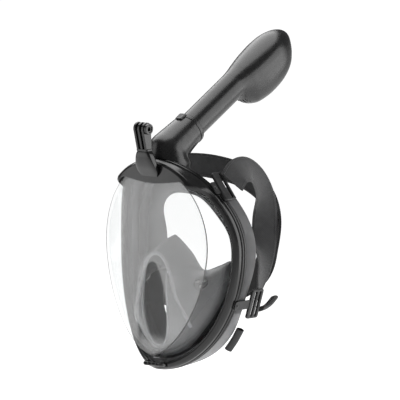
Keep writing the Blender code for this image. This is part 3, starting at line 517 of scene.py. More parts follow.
def stitch_line(points, lifts, pitch=2.6, gap=0.7):
    """Stitches along a line of points, each with its outward direction."""
    lengths = [0.0]
    for a, b in zip(points, points[1:]):
        lengths.append(lengths[-1] + (b - a).length)

    def sample(distance):
        for i in range(len(points) - 1):
            if distance <= lengths[i + 1] or i == len(points) - 2:
                share = (distance - lengths[i]) / max(lengths[i + 1] - lengths[i], 1e-6)
                return mix(points[i], points[i + 1], share), mix(lifts[i], lifts[i + 1], share).normalized()

    parts = []
    for k in range(int(lengths[-1] / pitch)):
        start, lift = sample(k * pitch + gap / 2)
        end, _ = sample((k + 1) * pitch - gap / 2)
        parts.append(grain_of_rice(start, end, lift))
    return parts


def carve(obj, *cutters):
    """Cuts closed meshes (vertices in millimetres, faces) out of a piece, and leaves no cut behind."""
    tools = []
    for number, (verts, faces) in enumerate(cutters):
        mesh = bpy.data.meshes.new("cutter")
        mesh.from_pydata([Vector(v) * MM for v in verts], [], faces)
        outward_faces(mesh)
        tool = bpy.data.objects.new("cutter", mesh)
        COLLECTION.objects.link(tool)
        cut = obj.modifiers.new("cut%d" % number, "BOOLEAN")
        cut.object = tool
        cut.solver = "EXACT"
        tools.append(tool)
    shading = obj.modifiers.get("shading")
    if shading:
        obj.modifiers.remove(shading)
    bpy.context.view_layer.update()
    mesh = bpy.data.meshes.new_from_object(obj.evaluated_get(bpy.context.evaluated_depsgraph_get()))
    obj.modifiers.clear()
    obj.data = mesh
    mesh.shade_smooth()
    mesh.set_sharp_from_angle(angle=math.radians(35))
    for tool in tools:
        bpy.data.objects.remove(tool)
    obj.modifiers.new("shading", "WEIGHTED_NORMAL").keep_sharp = True


def block(size, at, columns=LEVEL):
    """A closed box as (verts, faces), for cutting."""
    x, y, z = (Vector(c) for c in columns)
    verts = [Vector(at) + x * (i * size[0] / 2) + y * (j * size[1] / 2) + z * (k * size[2] / 2)
             for i in (-1, 1) for j in (-1, 1) for k in (-1, 1)]
    return verts, [(0, 1, 3, 2), (4, 6, 7, 5), (0, 4, 5, 1), (2, 3, 7, 6), (0, 2, 6, 4), (1, 5, 7, 3)]


def column(at, axis, radius, low, high, sides=48):
    """A closed cylinder as (verts, faces)."""
    turn = Vector((0, 0, 1)).rotation_difference(Vector(axis))
    return skin([[Vector(at) + turn @ Vector((x, y, h)) for x, y in disc(radius, sides)]
                 for h in (low, high)])[:2]


# ---------------------------------------------------------------- the mask's curves

ANGLES = turns(FINE)


def folded(angle):
    """Degrees from the top, the same on both sides."""
    turn = math.degrees(angle) % 360.0
    return min(turn, 360.0 - turn)


def frame_outline(angle):
    cosine = math.cos(angle)
    length = TOP_LENGTH if cosine > 0 else CHIN_LENGTH
    x, z = HALF_WIDTH * math.sin(angle), WIDEST_Z + length * cosine
    return x, z, Vector((x / HALF_WIDTH ** 2, 0.0, (z - WIDEST_Z) / length ** 2)).normalized()


def rear_edge(angle):
    """The Y of the rear frame's back face."""
    across = abs(math.sin(angle))
    if math.cos(angle) > 0:
        return FOREHEAD_Y + mix(TOP_REAR, TEMPLE_REAR, across ** 2)
    return FOREHEAD_Y + mix(CHIN_REAR, TEMPLE_REAR, across ** 1.2)


def rim_point(angle, inset, back):
    """A point of the frame's section: inset from the outline, back from the rear frame's back face."""
    x, z, normal = frame_outline(angle)
    return Vector((x, rear_edge(angle) + back, z)) - inset * normal


def panel_y(x):
    return FOREHEAD_Y + x * x / PANEL_BEND


def panel_point(angle, scale=1.0, back=0.0):
    cosine, sine = math.cos(angle), math.sin(angle)
    if cosine > 0:
        x, z = PANEL_HALF * sine, PANEL_Z + PANEL_UP * cosine
    else:
        power = 2.0 / PANEL_TAPER
        x, z = PANEL_HALF * bent(sine, power), PANEL_Z - PANEL_DOWN * abs(cosine) ** power
    x, z = x * scale, PANEL_Z + (z - PANEL_Z) * scale
    return Vector((x, panel_y(x) + back, z))


def swept(name, section, radius):
    """A glossy ring round the mask from a section of (inset, back) pairs, with its corners rounded."""
    rings = [[rim_point(a, p[0], p[1]) for p in rounded(section(a), radius)] for a in ANGLES]
    return loft(name + "_ring", rings, [GLOSS], [name], closed=True, sharp=50.0)


# ---------------------------------------------------------------- lens and frames

def make_lens():
    """A flat panel with a crisp edge, side walls that run back, and a flange; each band has its own look."""
    rings, marks = [], []
    foot = [rim_point(a, WALL_INSET, FLANGE_FRONT) for a in ANGLES]
    edge = [panel_point(a) for a in ANGLES]
    inner_foot = [rim_point(a, WALL_INSET + LENS_THICKNESS, FLANGE_BACK) for a in ANGLES]
    inner_edge = [panel_point(a, 0.965, LENS_THICKNESS) for a in ANGLES]

    def add(mark, ring):
        rings.append(ring)
        marks.append(mark)

    # Band 1, the panel's outermost rings and the first of the wall, takes the dark edge band: painted shade.
    for scale in (0.03, 0.25, 0.5, 0.72, 0.88, 0.96, 0.982, 0.991):
        add(0 if scale < 0.99 else 1, [panel_point(a, scale) for a in ANGLES])
    add(1, [panel_point(a, 0.9985, 0.12) for a in ANGLES])
    for share in (0.012, 0.03, 0.1, 0.25, 0.45, 0.65, 0.85):
        add(1 if share < 0.02 else 2, [mix(e, f, share) for e, f in zip(edge, foot)])
    add(3, foot)
    add(3, [rim_point(a, FLANGE_INSET, FLANGE_FRONT) for a in ANGLES])
    add(3, [rim_point(a, FLANGE_INSET, FLANGE_BACK) for a in ANGLES])
    add(2, inner_foot)
    for share in (0.8, 0.55, 0.3, 0.1, 0.02):
        add(2 if share > 0.02 else 0, [mix(e, f, share) for e, f in zip(inner_edge, inner_foot)])
    for scale in (0.958, 0.9, 0.78, 0.5, 0.25, 0.03):
        add(0, [panel_point(a, scale, LENS_THICKNESS) for a in ANGLES])
    loft("clear_lens", rings, [PANEL, PANEL_EDGE_PAINTED_SHADE, WALL, FLANGE], ["lens"], bands=marks,
         sharp=50.0)


def front_section(angle):
    """The lip round the lens. At the brow it moves forward and covers the top of the panel."""
    degrees = folded(angle)
    x, z, normal = frame_outline(angle)
    rise = smooth((50.0 - degrees) / 12.0)
    lip = 8.9
    if degrees < 34.0:
        lip = max(lip, (z - 90.0 - (x * 0.9) ** 2 / 455.0) / normal.z)
    x_lip = x - lip * normal.x
    back = rear_edge(angle)
    front = mix(-17.6, panel_y(x) - 3.6 - back, rise)
    front_lip = mix(-17.6, panel_y(x_lip) - 3.6 - back, rise)
    rear_lip = mix(-14.0, panel_y(x_lip) - 0.5 - back, rise)
    rear_wall = mix(-13.5, panel_y(x - 8.6 * normal.x) - 0.5 - back, rise)
    return [(0.8, -7.2), (0.8, -11.5), (2.4, front + 2.6), (5.2, front), (lip - 1.0, front_lip),
            (lip, front_lip + 1.0), (lip, rear_lip), (8.4, rear_wall), (8.4, -9.8), (5.6, -9.8), (5.6, -7.2)]


def rear_section(angle):
    """The clamping ring, with a groove round its outer face; it is the same all round."""
    return [(0.5, -6.9), (0.0, -5.6), (0.0, -4.4), (1.1, -3.8), (1.1, -3.0), (0.0, -2.4), (0.0, -0.7),
            (0.7, 0.0), (11.0, 0.0), (11.0, -5.0), (5.6, -5.0), (5.6, -6.9)]


def screw_places():
    return [("%s_%03d" % (name, degrees), rim_point(math.radians(degrees) * side, SCREW_INSET, 0.0))
            for side, name in SIDES for degrees in SCREW_ANGLES]


def make_frames():
    front = swept("front_frame", front_section, 1.0)
    carve(front, block((30.8, 24.6, 18.0), (0, FOREHEAD_Y + 1.0, -113.6)))
    rear = swept("rear_frame", rear_section, 0.45)
    carve(rear, *[column(at, BACKWARD, 2.0, -1.6, 3.0, 24) for _, at in screw_places()])


# ---------------------------------------------------------------- silicone

def skirt_depth(angle):
    degrees = folded(angle)
    top = 21.0 * smooth((62.0 - degrees) / 55.0)
    cheek = 6.0 * smooth(1.0 - abs(degrees - 113.0) / 22.0)
    jaw = 6.0 * smooth(1.0 - abs(degrees - 152.0) / 30.0)
    return SKIRT_DEPTH + top - cheek + jaw


def opening_point(angle, thickness):
    sine, cosine = math.sin(angle), math.cos(angle)
    length, power = (OPENING_UP, 0.8) if cosine > 0 else (OPENING_DOWN, 0.64)
    return Vector((OPENING_HALF * bent(sine, power), rear_edge(angle) + skirt_depth(angle) + thickness,
                   length * bent(cosine, power)))


def skirt_ring(angle):
    """The seal's section as points: clamped flange, wall, and a flap that ends at the opening."""
    depth = skirt_depth(angle)
    side = [(6.0, -7.2), (12.9, -7.2), (12.9, 2.3), (6.5, 2.6), (4.0, 5.0), (3.4, depth * 0.6),
            (4.4, depth - 3.4), (8.0, depth - 0.9), None, None, (7.0, depth + 0.9), (2.6, depth - 2.0),
            (1.6, depth * 0.6), (2.0, 3.5), (4.2, 0.6), (11.3, 0.4), (11.3, -5.3), (6.0, -5.3)]
    top = [(6.0, -7.2), (12.9, -7.2), (12.9, 2.3), (13.3, 4.0), (14.4, 8.0), (18.8, depth * 0.5),
           (25.0, depth - 3.4), (29.0, depth - 0.9), None, None, (27.5, depth + 0.9), (23.2, depth - 2.0),
           (17.0, depth * 0.5), (12.6, 8.0), (11.6, 3.0), (11.3, 0.4), (11.3, -5.3), (6.0, -5.3)]
    share = smooth((50.0 - folded(angle)) / 25.0)
    ring = [rim_point(angle, mix(s[0], t[0], share), mix(s[1], t[1], share)) if s else None
            for s, t in zip(side, top)]
    ring[8], ring[9] = opening_point(angle, -0.4), opening_point(angle, 0.9)
    return ring


def make_skirt():
    """The face seal, with its flap rounded off at the edge of the opening and swelling a little between."""
    rings = []
    for angle in ANGLES:
        points = skirt_ring(angle)
        belly = (points[7] + points[8]) / 2 - 1.6 * BACKWARD
        fold = (points[9] + points[10]) / 2 - 1.2 * BACKWARD
        lip = (points[8] + points[9]) / 2 + (points[8] - points[7]).normalized() * 0.6
        rings.append(points[:8] + [belly, points[8], lip, points[9], fold] + points[10:])
    # The first eleven columns, the inner faces, take the paler painted-light silicone.
    skirt = striped("face_seal_skirt", rings, [SKIRT, SKIRT_INNER_PAINTED_LIGHT], range(11), ["face_skirt"], True, 180.0)
    carve(skirt, column((0, FOREHEAD_Y + 27.0, 100), (0, 0, 1), 10.5, -14, 14))


# The nose pocket's front and rear edges from its middle line outward, behind the lens panel.
POCKET_FRONT = ((0, 6, 8), (12, 6, 2), (20, 7, -14), (27, 9, -40), (37, 13, -60), (41, 20, -76))
POCKET_REAR = ((0, 40, 26), (13, 54, 6), (24, 63, -15), (44, 68, -9), (64, 66, -2), (72, 62, -12))
# The pocket's front, down each side to the chin: where it leaves the wall, and the edge of its arch.
APRON_OUTER = ((19, 7.8, -13), (27, 10.4, -40), (37, 14.4, -60), (41, 21.4, -76), (33, 24, -92),
               (14, 22, -104), (0, 20, -107))
APRON_INNER = ((17.0, 6.0, -13), (18.5, 4.6, -38), (19, 5.2, -58), (17, 8, -76), (12, 11, -90),
               (5.5, 13, -98), (0, 14, -99.5))
# Where each cheek leaves the pocket: down the end of its wall, then along its front to the chin.
CHEEK_INNER = ((71, 61.5, -12), (64, 49, -27), (56, 38, -42.5), (48.4, 28, -59), (41, 20.5, -76),
               (33, 24.5, -92), (14, 22.5, -104), (0.4, 20.5, -107))


def shifted(points):
    return [Vector((x, y + FOREHEAD_Y, z)) for x, y, z in points]


def mirrored(points):
    return [(-x, y, z) for x, y, z in points]


def valve_seat(side):
    low, high = (Vector(c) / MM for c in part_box("inhale_valve_seat_" + side))
    return (low + high) / 2, Vector(SLIDES["inhale_flap_lift_" + side]["axis"]).normalized()


def rolled_edge(name, path, back, shift, wide, deep):
    rings = []
    for k, point in enumerate(path):
        tangent = tangent_at(path, k)
        first = tangent.cross(BACKWARD).normalized()
        centre = point + back * BACKWARD + shift * first
        rings.append(hoop(centre, wide * first, deep * tangent.cross(first), 16))
    loft(name, rings, [RIM_PAINTED_HIGHLIGHT_SILICONE], sharp=60.0)


def sheet_ring(near, far, bulge):
    """The section of a thin sheet between two points, swelling forward."""
    line = [mix(near, far, t / 8) - bulge * math.sin(math.pi * t / 8) * BACKWARD for t in range(9)]
    return line + [p + SHEET * BACKWARD for p in reversed(line)]


def make_nose_pocket():
    """The inner wall over the nose and mouth: a thin shell with a rolled front rim and two valve openings."""
    steps, levels = 8, 24
    front, rear = (curve_points(shifted(mirrored(reversed(half[1:])) + list(half)), steps)
                   for half in (POCKET_FRONT, POCKET_REAR))
    rows = []
    for level in range(levels + 1):
        sag = Vector((0, -3.0, 2.0)) * math.sin(math.pi * level / levels)
        rows.append([mix(f, r, level / levels) + sag for f, r in zip(front, rear)])
    rings = []
    for c in range(len(front)):
        line = [row[c] for row in rows]
        lifts = [POCKET_WALL * tangent_at(row, c).cross(tangent_at(line, r)).normalized()
                 for r, row in enumerate(rows)]
        pairs = list(zip(line, lifts))
        rings.append([p + n for p, n in pairs] + [p - n for p, n in reversed(pairs)])
    # The pocket's inner face takes the near-black silicone: painted shade for its dark inside.
    inside = range(levels + 1, 2 * levels + 2)
    pocket = striped("nose_pocket_wall", rings, [POCKET, PAINTED_SHADE_SILICONE], inside, ["nose_pocket"])
    carve(pocket, *[column(*valve_seat(side), 9.1, -6, 6) for side in ("left", "right")])
    rolled_edge("nose_pocket_rim", front, 1.6, 0.4, 2.3, 2.0)
    make_pocket_front(steps)
    for side in ("left", "right"):
        ring = [(9.6 + 0.8 * math.cos(a), -0.8 * math.sin(a)) for a in turns(12)]
        turned("valve_collar_" + side, ring, *valve_seat(side), [POCKET], slot=RUBBER, sides=48, ring=True)


def make_pocket_front(steps):
    """The pocket's front face on both sides of the arch, closed across the chin, and its cheeks."""
    outer, inner = (curve_points(shifted(line), steps) for line in (APRON_OUTER, APRON_INNER))
    outer += [Vector(p) for p in mirrored(reversed(outer[:-1]))]
    inner += [Vector(p) for p in mirrored(reversed(inner[:-1]))]
    loft("nose_pocket_front", [sheet_ring(o, i, 1.6) for o, i in zip(outer, inner)], [POCKET],
         sharp=60.0, weighted=False)
    rolled_edge("nose_pocket_arch_edge", inner, 1.0, 0.0, 1.5, 1.5)
    for side, name in SIDES:
        near = curve_points(shifted([(side * x, y, z) for x, y, z in CHEEK_INNER]), steps)
        degrees = [95 + 85 * k / (len(near) - 1) for k in range(len(near))]
        rings = [sheet_ring(point, rim_point(math.radians(side * d), 13.0, 3.0), 1.5)
                 for point, d in zip(near, degrees)]
        # The cheek's columns next to the frame take the dark silicone: painted shade for the shadowed groove
        # beside the frame.
        striped("pocket_cheek_" + name, rings, [POCKET, DARK_SILICONE], range(5, 12))


def duct_inset(degrees):
    return 22.0 if degrees < 55 else 16.0 + 6.0 * smooth((70 - degrees) / 15)


def make_ducts():
    """Ribbed soft tubes inside the skirt, with a small lip at their lower ends."""
    steps = 40
    for side, name in SIDES:
        degrees = [28 + 82 * k / steps for k in range(steps + 1)]
        centres = [rim_point(math.radians(d) * side, duct_inset(d), 9.0) for d in degrees]

        def ring(k, radius, back=0.0):
            tangent = tangent_at(centres, k)
            across = tangent.cross(BACKWARD).normalized()
            return hoop(centres[k] - back * tangent, radius * across, radius * tangent.cross(across), 24)

        rings = [ring(k, 5.4 + 0.25 * math.cos(math.pi * k)) for k in range(steps + 1)]
        lip = ((2.8, 0.0), (2.8, 1.0), (4.0, 1.0), (4.0, 7.0))
        rings += [ring(steps, radius, back) for radius, back in lip]
        loft("breath_duct_" + name, rings, [DARK_SILICONE], ["exhale_duct_" + name], sharp=60.0)


# ---------------------------------------------------------------- snorkel

def make_socket():
    """A neck astride the frame that bends back into a straight cone, with a rim that holds the tube."""
    count = 96

    def ring(s, radius):
        return hoop(RIM + s * AXIS, radius * ACROSS, radius * REAR, count)

    def base(half_x, half_y, z):
        return hoop(Vector((0, FOREHEAD_Y + 27.0, z)), half_x * ACROSS, half_y * BACKWARD, count)

    bend = [RIM + (11.5 * math.sin(a) - 44.5) * AXIS + 22.6 * (math.cos(a) * ACROSS + math.sin(a) * REAR)
            for a in turns(count)]
    foot, sleeve = base(28.5, 24.2, 112.0), ring(-20, 20.2)
    outer = [base(29.0, 24.5, 98.0), foot, [mix(f, b, 0.4) for f, b in zip(foot, bend)]]
    for step in range(9):
        t = step / 8
        outer.append([mix(mix(mix(f, b, 0.72), b, t), mix(b, mix(b, v, 0.3), t), t)
                      for f, b, v in zip(foot, bend, sleeve)])
    outer += [[mix(b, v, 0.65) for b, v in zip(bend, sleeve)], sleeve]
    rim = ((-6.4, 19.05), (-5.9, 19.0), (-5.6, 19.5), (-5.0, 19.7), (-1.2, 19.5), (-0.5, 19.2), (0, 18.5),
           (0, 15.3), (-0.5, SOCKET_BORE), (-27, SOCKET_BORE), (-28, 13.0), (-34, 17.0))
    inner = [ring(*pair) for pair in rim] + [base(23.0, 19.0, 112.0), base(23.0, 19.0, 98.0)]
    socket = loft("snorkel_neck", outer + inner, [SATIN], ["snorkel_socket"],
                  closed=True)
    envelope = [(-0.35, 0.35), (-0.35, -61.0), (46.0, -61.0), (46.0, 60.0), (26.8, 43.2), (22.6, 40.3),
                (16.5, 21.0), (12.1, 8.2), (11.1, 3.0), (10.9, 0.35)]
    rings = [[rim_point(math.radians(-45 + 90 * k / 48), *pair) for pair in envelope] for k in range(49)]
    recess = block((9.6, 10.8, 10.0), RIM - 8.0 * AXIS - 21.2 * REAR, (ACROSS, AXIS, ACROSS.cross(AXIS)))
    carve(socket, skin(rings)[:2], recess)


def make_button():
    """The release button: rounded, with three grip grooves across it."""
    columns = (ACROSS, AXIS, ACROSS.cross(AXIS))
    seat, face = RIM - 8.0 * AXIS, 21.6
    button = slab("release_catch", oval(8.8, 10.0, 1.6), 18.2, face, columns, seat, GLOSS, ["release_button"],
                  body="button", edge=0.7)
    grooves = [seat - face * REAR + shift * AXIS for shift in (-2.4, 0, 2.4)]
    carve(button, *[block((7.0, 0.8, 0.8), at, columns) for at in grooves])


def make_tube():
    profile = [(NECK, 151.0), (NECK, 83.8), (15.6, 83.6), (TUBE_RADIUS, 83.3), (TUBE_RADIUS, 83.0),
               (TUBE_RADIUS, 60.0), (TUBE_RADIUS, 20.0), (TUBE_RADIUS, 1.6), (15.8, 0.9), (15.2, 0.5),
               (SPIGOT, 0.4), (SPIGOT, -10.4), (14.1, -10.6), (12.95, -10.6), (12.95, -13.4), (14.1, -13.4),
               (SPIGOT, -13.6), (SPIGOT, -23.0), (13.5, -25.0), (12.2, -25.0), (TUBE_BORE, -24.6),
               (TUBE_BORE, 151.0)]
    turned("snorkel_barrel", profile, RIM, AXIS, [SATIN], ["snorkel_tube"], "satin_black_plastic", "snorkel",
           sides=96, ring=True)


# The bulb: height along the tube, half width, reach to its front and to its rear.
DRY_TOP_OUTER = ((83.2, 16.05, 16.05, 16.05), (84.6, 16.1, 16.05, 19.0), (87.4, 16.5, 16.05, 25.4),
                 (92.0, 17.4, 16.1, 31.0), (98.0, 18.7, 16.4, 35.0), (106.0, 20.5, 17.1, 38.0),
                 (123.0, 23.3, 18.3, 40.0), (144.0, 24.4, 19.0, 38.4), (161.0, 22.6, 18.2, 33.0),
                 (174.0, 17.6, 15.2, 24.5), (182.0, 11.8, 10.9, 15.6), (186.6, 6.2, 6.0, 7.6),
                 (188.3, 1.0, 1.0, 1.2))


def dry_top_ring(height, half_width, front, rear):
    """A ring of the bulb: round in front, and fuller than an ellipse at its rear."""
    fullness = 1.0 - 0.26 * smooth((height - 86.0) / 16.0) * smooth((188.0 - height) / 22.0)
    points = []
    for a in turns(96):
        c, s = math.cos(a), math.sin(a)
        power = fullness if s > 0 else 1.0
        r = rear * abs(s) ** power if s > 0 else front * s
        points.append(RIM + height * AXIS + half_width * bent(c, power) * ACROSS + r * REAR)
    return points


def make_dry_top():
    """The float housing: a smooth bulb that swells to the rear, with a slotted intake under it."""
    stations = tuple_curve(DRY_TOP_OUTER, 5)
    outer = [dry_top_ring(*s) for s in reversed(stations)]
    inner = [dry_top_ring(min(max(h, 86.5), 186.0), max(w - 2.0, 0.4), max(f - 1.6, 0.4), max(r - 2.0, 0.4))
             for h, w, f, r in stations if 86 < h < 187]
    shell = loft("dry_top_housing", outer + inner, [SATIN], ["dry_top_shell"],
                 "snorkel", sharp=40.0)
    slope = (15.0 * REAR + 8.0 * AXIS).normalized()
    columns = (ACROSS, slope, ACROSS.cross(slope))
    middle = RIM + 88.2 * AXIS + 24.6 * REAR
    places = [middle + (k - INTAKE_SLOTS // 2) * INTAKE_PITCH * ACROSS for k in range(INTAKE_SLOTS)]
    carve(shell, *[block((2.2, 8.6, 16.0), at, columns) for at in places])
    plates = [block((2.1, 8.4, 0.8), at + columns[2] * 1.2, columns) for at in places]
    joined("intake_mesh", plates, [DARK_SILICONE], ["intake_grille"], "snorkel", sharp=35.0)


# ---------------------------------------------------------------- camera tongue

def make_camera_tongue():
    """A crest on the brow, and on it three prongs and a boss that holds a hex nut."""
    y = FOREHEAD_Y
    rows = [(98.4, 12.0, y - 3.2, y - 4.6), (104.0, 15.0, y - 4.0, y - 8.6), (111.0, 14.6, y - 4.0, y - 13.4),
            (119.0, 12.6, y - 4.4, y - 16.6), (125.0, 10.6, y - 5.6, y - 17.4),
            (127.4, 9.0, y - 7.0, y - 17.2)]
    rings = []
    for z, half, back, front in tuple_curve(rows, 4):
        middle, reach = (back + front) / 2, (back - front) / 2
        rings.append([Vector((half * bent(math.cos(a), 0.5), middle + reach * bent(math.sin(a), 0.5), z))
                      for a in turns(64)])
    top = rings[-1]
    centre = sum(top, Vector()) / len(top)
    for share, rise in ((0.06, 0.45), (0.14, 0.55)):
        rings.append([mix(p, centre, share) + Vector((0, 0, rise)) for p in top])
    loft("brow_crest_block", rings, [GLOSS], ["brow_crest"])

    head = Vector((0, y - 16.0, 154.5))
    columns = (BACKWARD, Vector((0, 0, 1)), ACROSS)
    arc = [math.radians(-25 + 230 * k / 40) for k in range(41)]
    outline = [(TONGUE_RADIUS * math.cos(a), TONGUE_RADIUS * math.sin(a)) for a in arc]
    outline += [(-1.2, -24.6), (7.8, -24.6)]
    for number, middle in enumerate((-6.2, 0.0, 6.2)):
        prong = slab("camera_prong_%d" % (number + 1), outline, middle - 1.5, middle + 1.5, columns, head,
                     GLOSS, ["camera_mount"], holes=(disc(TONGUE_BORE, 32),), edge=0.45)
        if number == 2:
            carve(prong, column(head, ACROSS, 4.75, 7.2, 9.0, 6))
    slab("camera_tongue_foot", oval(17.0, 10.4, 2.0), 128.0, 131.0, LEVEL, (0, y - 12.4, 0), GLOSS)
    shape = [(0.0, 11.4), (5.8, 11.4), (6.15, 11.25), (6.3, 10.9), (6.3, 7.4), (0.0, 7.4)]
    boss = turned("nut_boss", shape, head, ACROSS, [GLOSS], slot=PLASTIC)
    carve(boss, column(head, ACROSS, 4.75, 7.2, 14.0, 6), column(head, ACROSS, TONGUE_BORE, 4.0, 14.0, 32))
    slab("captive_nut", disc(4.45, 6), 7.5, 10.6, columns, head, BLACKED, ["mount_nut"],
         holes=(disc(2.4, 32),), edge=0.35)


# ---------------------------------------------------------------- straps and their anchors

# Each strap's middle line, from its upper lug over the back of the head to its lower buckle.
LEFT_STRAP = ((70, 60, 91), (67, 76, 102), (62, 100, 101), (56, 124, 84), (46, 143, 60), (40, 150, 34),
              (43, 146, 8), (56, 130, -13), (68, 110, -31), (79, 95, -45))
LEFT_FACING = ((0.78, 0.0, 0.63), (0.85, 0.0, 0.55), (0.88, 0.0, 0.45), (0.9, -0.1, 0.3),
               (0.88, -0.25, 0.15), (0.88, -0.35, 0.0), (0.88, -0.35, -0.1), (0.9, -0.2, -0.25),
               (0.9, 0.0, -0.35), (0.88, 0.1, -0.37))
# The right strap hangs slack, so its lower leg falls lower and laps behind the left strap's edge.
RIGHT_STRAP = ((-70, 60, 91), (-64, 86, 97), (-48, 114, 98), (-26, 138, 94), (0, 157, 84),
               (23, 169, 64), (34, 170, 38), (33, 166, 6), (25, 160, -26), (-2, 144, -47),
               (-36, 124, -56), (-64, 106, -54), (-79, 95, -46))
RIGHT_FACING = ((-0.7, 0.1, 0.7), (-0.75, 0.3, 0.6), (-0.65, 0.5, 0.5), (-0.5, 0.75, 0.4), (-0.2, 0.9, 0.3),
                (0.1, 1.0, 0.15), (0.15, 1.0, 0.0), (0.1, 1.0, -0.15), (0.0, 0.95, -0.3), (-0.3, 0.8, -0.45),
                (-0.6, 0.6, -0.45), (-0.8, 0.4, -0.4), (-0.88, 0.25, -0.35))


def ribbon(side, points, normals):
    """A strap: a flat band, faintly crowned, with soft edges and lengthwise UVs in metres."""
    line = curve_frames(shifted(points), normals, 9)
    half, thick = STRAP_WIDTH / 2, STRAP_THICKNESS / 2
    shape = []
    for k in range(15):
        u = -1 + 2 * k / 14
        shape.append((u * half, thick * (1.0 if abs(u) < 0.9 else 0.55) + 0.25 * (1 - u * u)))
    shape += [(-u, v - 2 * thick * (1.0 if abs(u) < 0.9 * half else 0.55)) for u, v in shape]
    rings, uvs, travelled = [], [], 0.0
    for k, (centre, normal, across, _) in enumerate(line):
        if k:
            travelled += (centre - line[k - 1][0]).length
        rings.append([centre + u * across + v * normal for u, v in shape])
        uvs += [(travelled * MM, u * MM) for u, v in shape]
    verts, faces, _ = skin(rings)
    make("webbing_" + side, verts, faces, [WEBBING], ["head_strap_" + side], sharp=60.0, uvs=uvs)
    return line


def edge_stitches(name, line):
    """Two rows of stitches along both faces of a strap."""
    parts = []
    for offset in (-STITCH_LINE, STITCH_LINE):
        for face in (1, -1):
            points = [c + offset * across + face * STITCH_LIFT * normal for c, normal, across, _ in line]
            parts += stitch_line(points, [face * normal for _, normal, _, _ in line])
    joined(name, parts, [THREAD])


def tube_tab(name, points, facing, width, thickness, nodes):
    """A flattened soft tube with an open, hollow end."""
    frames = curve_frames(shifted(points), [facing] * len(points), 10)

    def ring(index, w, t, push=0.0):
        centre, normal, across, tangent = frames[index]
        return [centre + tangent * push + across * (w * half * bent(math.cos(a), 0.8))
                + normal * (t * thick * math.sin(a)) for a in turns(32)]

    half, thick, last = width / 2, thickness / 2, len(frames) - 1
    rings = [ring(0, 0.6, 0.5, -0.6), ring(0, 0.9, 0.85, -0.3)]
    rings += [ring(k, 1.0, 1.0) for k in range(len(frames))]
    rings += [ring(last, 0.97, 0.94, 0.35), ring(last, 0.84, 0.72, 0.45), ring(last, 0.76, 0.6, 0.1),
              ring(last, 0.72, 0.52, -4.0)]
    # The last two bands, inside the open end, take the near-black silicone: painted shade.
    loft(name, rings, [TAB, PAINTED_SHADE_SILICONE], nodes, bands=[0] * (len(rings) - 3) + [1, 1], sharp=70.0)


def notched(width, height, corner):
    """A lug's outline: a rounded rectangle with a round finger notch at each end of its rear edge."""
    out = []
    for x, y in oval(width, height, corner, steps=8):
        bite = 2.2 * smooth(1.0 - abs(abs(x) - width * 0.36) / 3.2)
        out.append((x, y - bite if y > height * 0.35 else y))
    return out


def pin_head(name, at, outward, node):
    dome = [(0.0, 1.0), (0.8, 0.92), (1.6, 0.6), (2.1, 0.1), (2.1, -0.4), (1.3, -0.4), (1.3, -6.2),
            (0.0, -6.2)]
    turned(name, dome, at, outward, [BLACKED], [node], METAL, sides=32)


def make_anchors():
    """The upper lugs and lower ladder buckles, each on a thin arm that is pinned to the rear frame."""
    for side, name in SIDES:
        for degrees in (UPPER_LUG_ANGLE, LOWER_LUG_ANGLE):
            angle = math.radians(degrees) * side
            outward = frame_outline(angle)[2]
            along = outward.cross(BACKWARD)
            columns = (along, BACKWARD, along.cross(BACKWARD))
            if degrees == UPPER_LUG_ANGLE:
                slab("strap_lug_" + name, notched(38.0, 18.0, 3.2), -1.8, 1.8, columns,
                     rim_point(angle, -2.4, 10.0), FINE_MATT, ["upper_strap_lug_" + name],
                     holes=(oval(33.0, 4.0, 1.6, (0, 3.2)),), edge=1.0)
                slab("strap_lug_arm_" + name, oval(16.0, 12.0, 2.5), -0.8, 0.8, columns,
                     rim_point(angle, -1.4, -1.0), FINE_MATT, edge=0.4)
                pin_head("lug_rivet_" + name, rim_point(angle, -2.2, -2.7), outward, "upper_lug_pin_" + name)
            else:
                slots = [oval(31.0, 3.4, 1.4, (0, shift)) for shift in (-2.6, 4.2)]
                slab("ladder_buckle_" + name, oval(36.0, 19.0, 2.6), -1.7, 1.7, columns,
                     rim_point(angle, -1.2, 27.0), FINE_MATT, ["lower_buckle_" + name], holes=slots, edge=0.9)
                slab("ladder_buckle_arm_" + name, oval(11.0, 28.0, 2.5), -0.7, 0.7, columns,
                     rim_point(angle, -1.2, 7.4), FINE_MATT, edge=0.35)
                pin_head("buckle_rivet_" + name, rim_point(angle, -1.9, -2.8), outward,
                         "lower_buckle_pin_" + name)


def make_straps():
    lines = [("left", ribbon("left", LEFT_STRAP, LEFT_FACING)),
             ("right", ribbon("right", RIGHT_STRAP, RIGHT_FACING))]
    for name, line in lines:
        edge_stitches("edge_stitches_" + name, line)
        side = 1 if name == "left" else -1
        tail = ((side * 82, 96, -58), (side * 82, 103, -57), (side * 81, 112, -54), (side * 79, 123, -48))
        tube_tab("strap_end_" + name, tail, (side * 0.35, 0.3, -0.9), 12.6, 5.6,
                 ["strap_tail_" + name, "strap_tip_" + name])
        tab = ((side * 51, 75, -106), (side * 61, 75, -94), (side * 70.5, 74, -81))
        tube_tab("pull_tab_" + name, tab, (side * 0.66, -0.6, -0.4), 9.2, 6.0,
                 ["skirt_pull_tab_" + name])
    columns = [Vector(c) for c in ((0.9887, -0.1498, 0.0), (0.0, 0.0, 1.0), (-0.1498, -0.9887, 0.0))]
    at = Vector((43.0, FOREHEAD_Y + 166.2, 36.0))
    slab("sewn_patch", oval(7.0, 12.0, 1.2), -0.4, 0.4, columns, at, WEBBING_FLAT, ["strap_stitched_patch"],
         edge=0.25)
    corners = [at + columns[0] * x + columns[1] * z - columns[2] * 0.6
               for x, z in ((-2.4, -4.6), (2.4, -4.6), (2.4, 4.6), (-2.4, 4.6))]
    parts = []
    for a, b in ((0, 1), (1, 2), (2, 3), (3, 0), (0, 2), (1, 3)):
        parts += stitch_line([corners[a], corners[b]], [-columns[2], -columns[2]], 1.9)
    joined("patch_stitches", parts, [THREAD])


# ---------------------------------------------------------------- valves, chin cover, screws

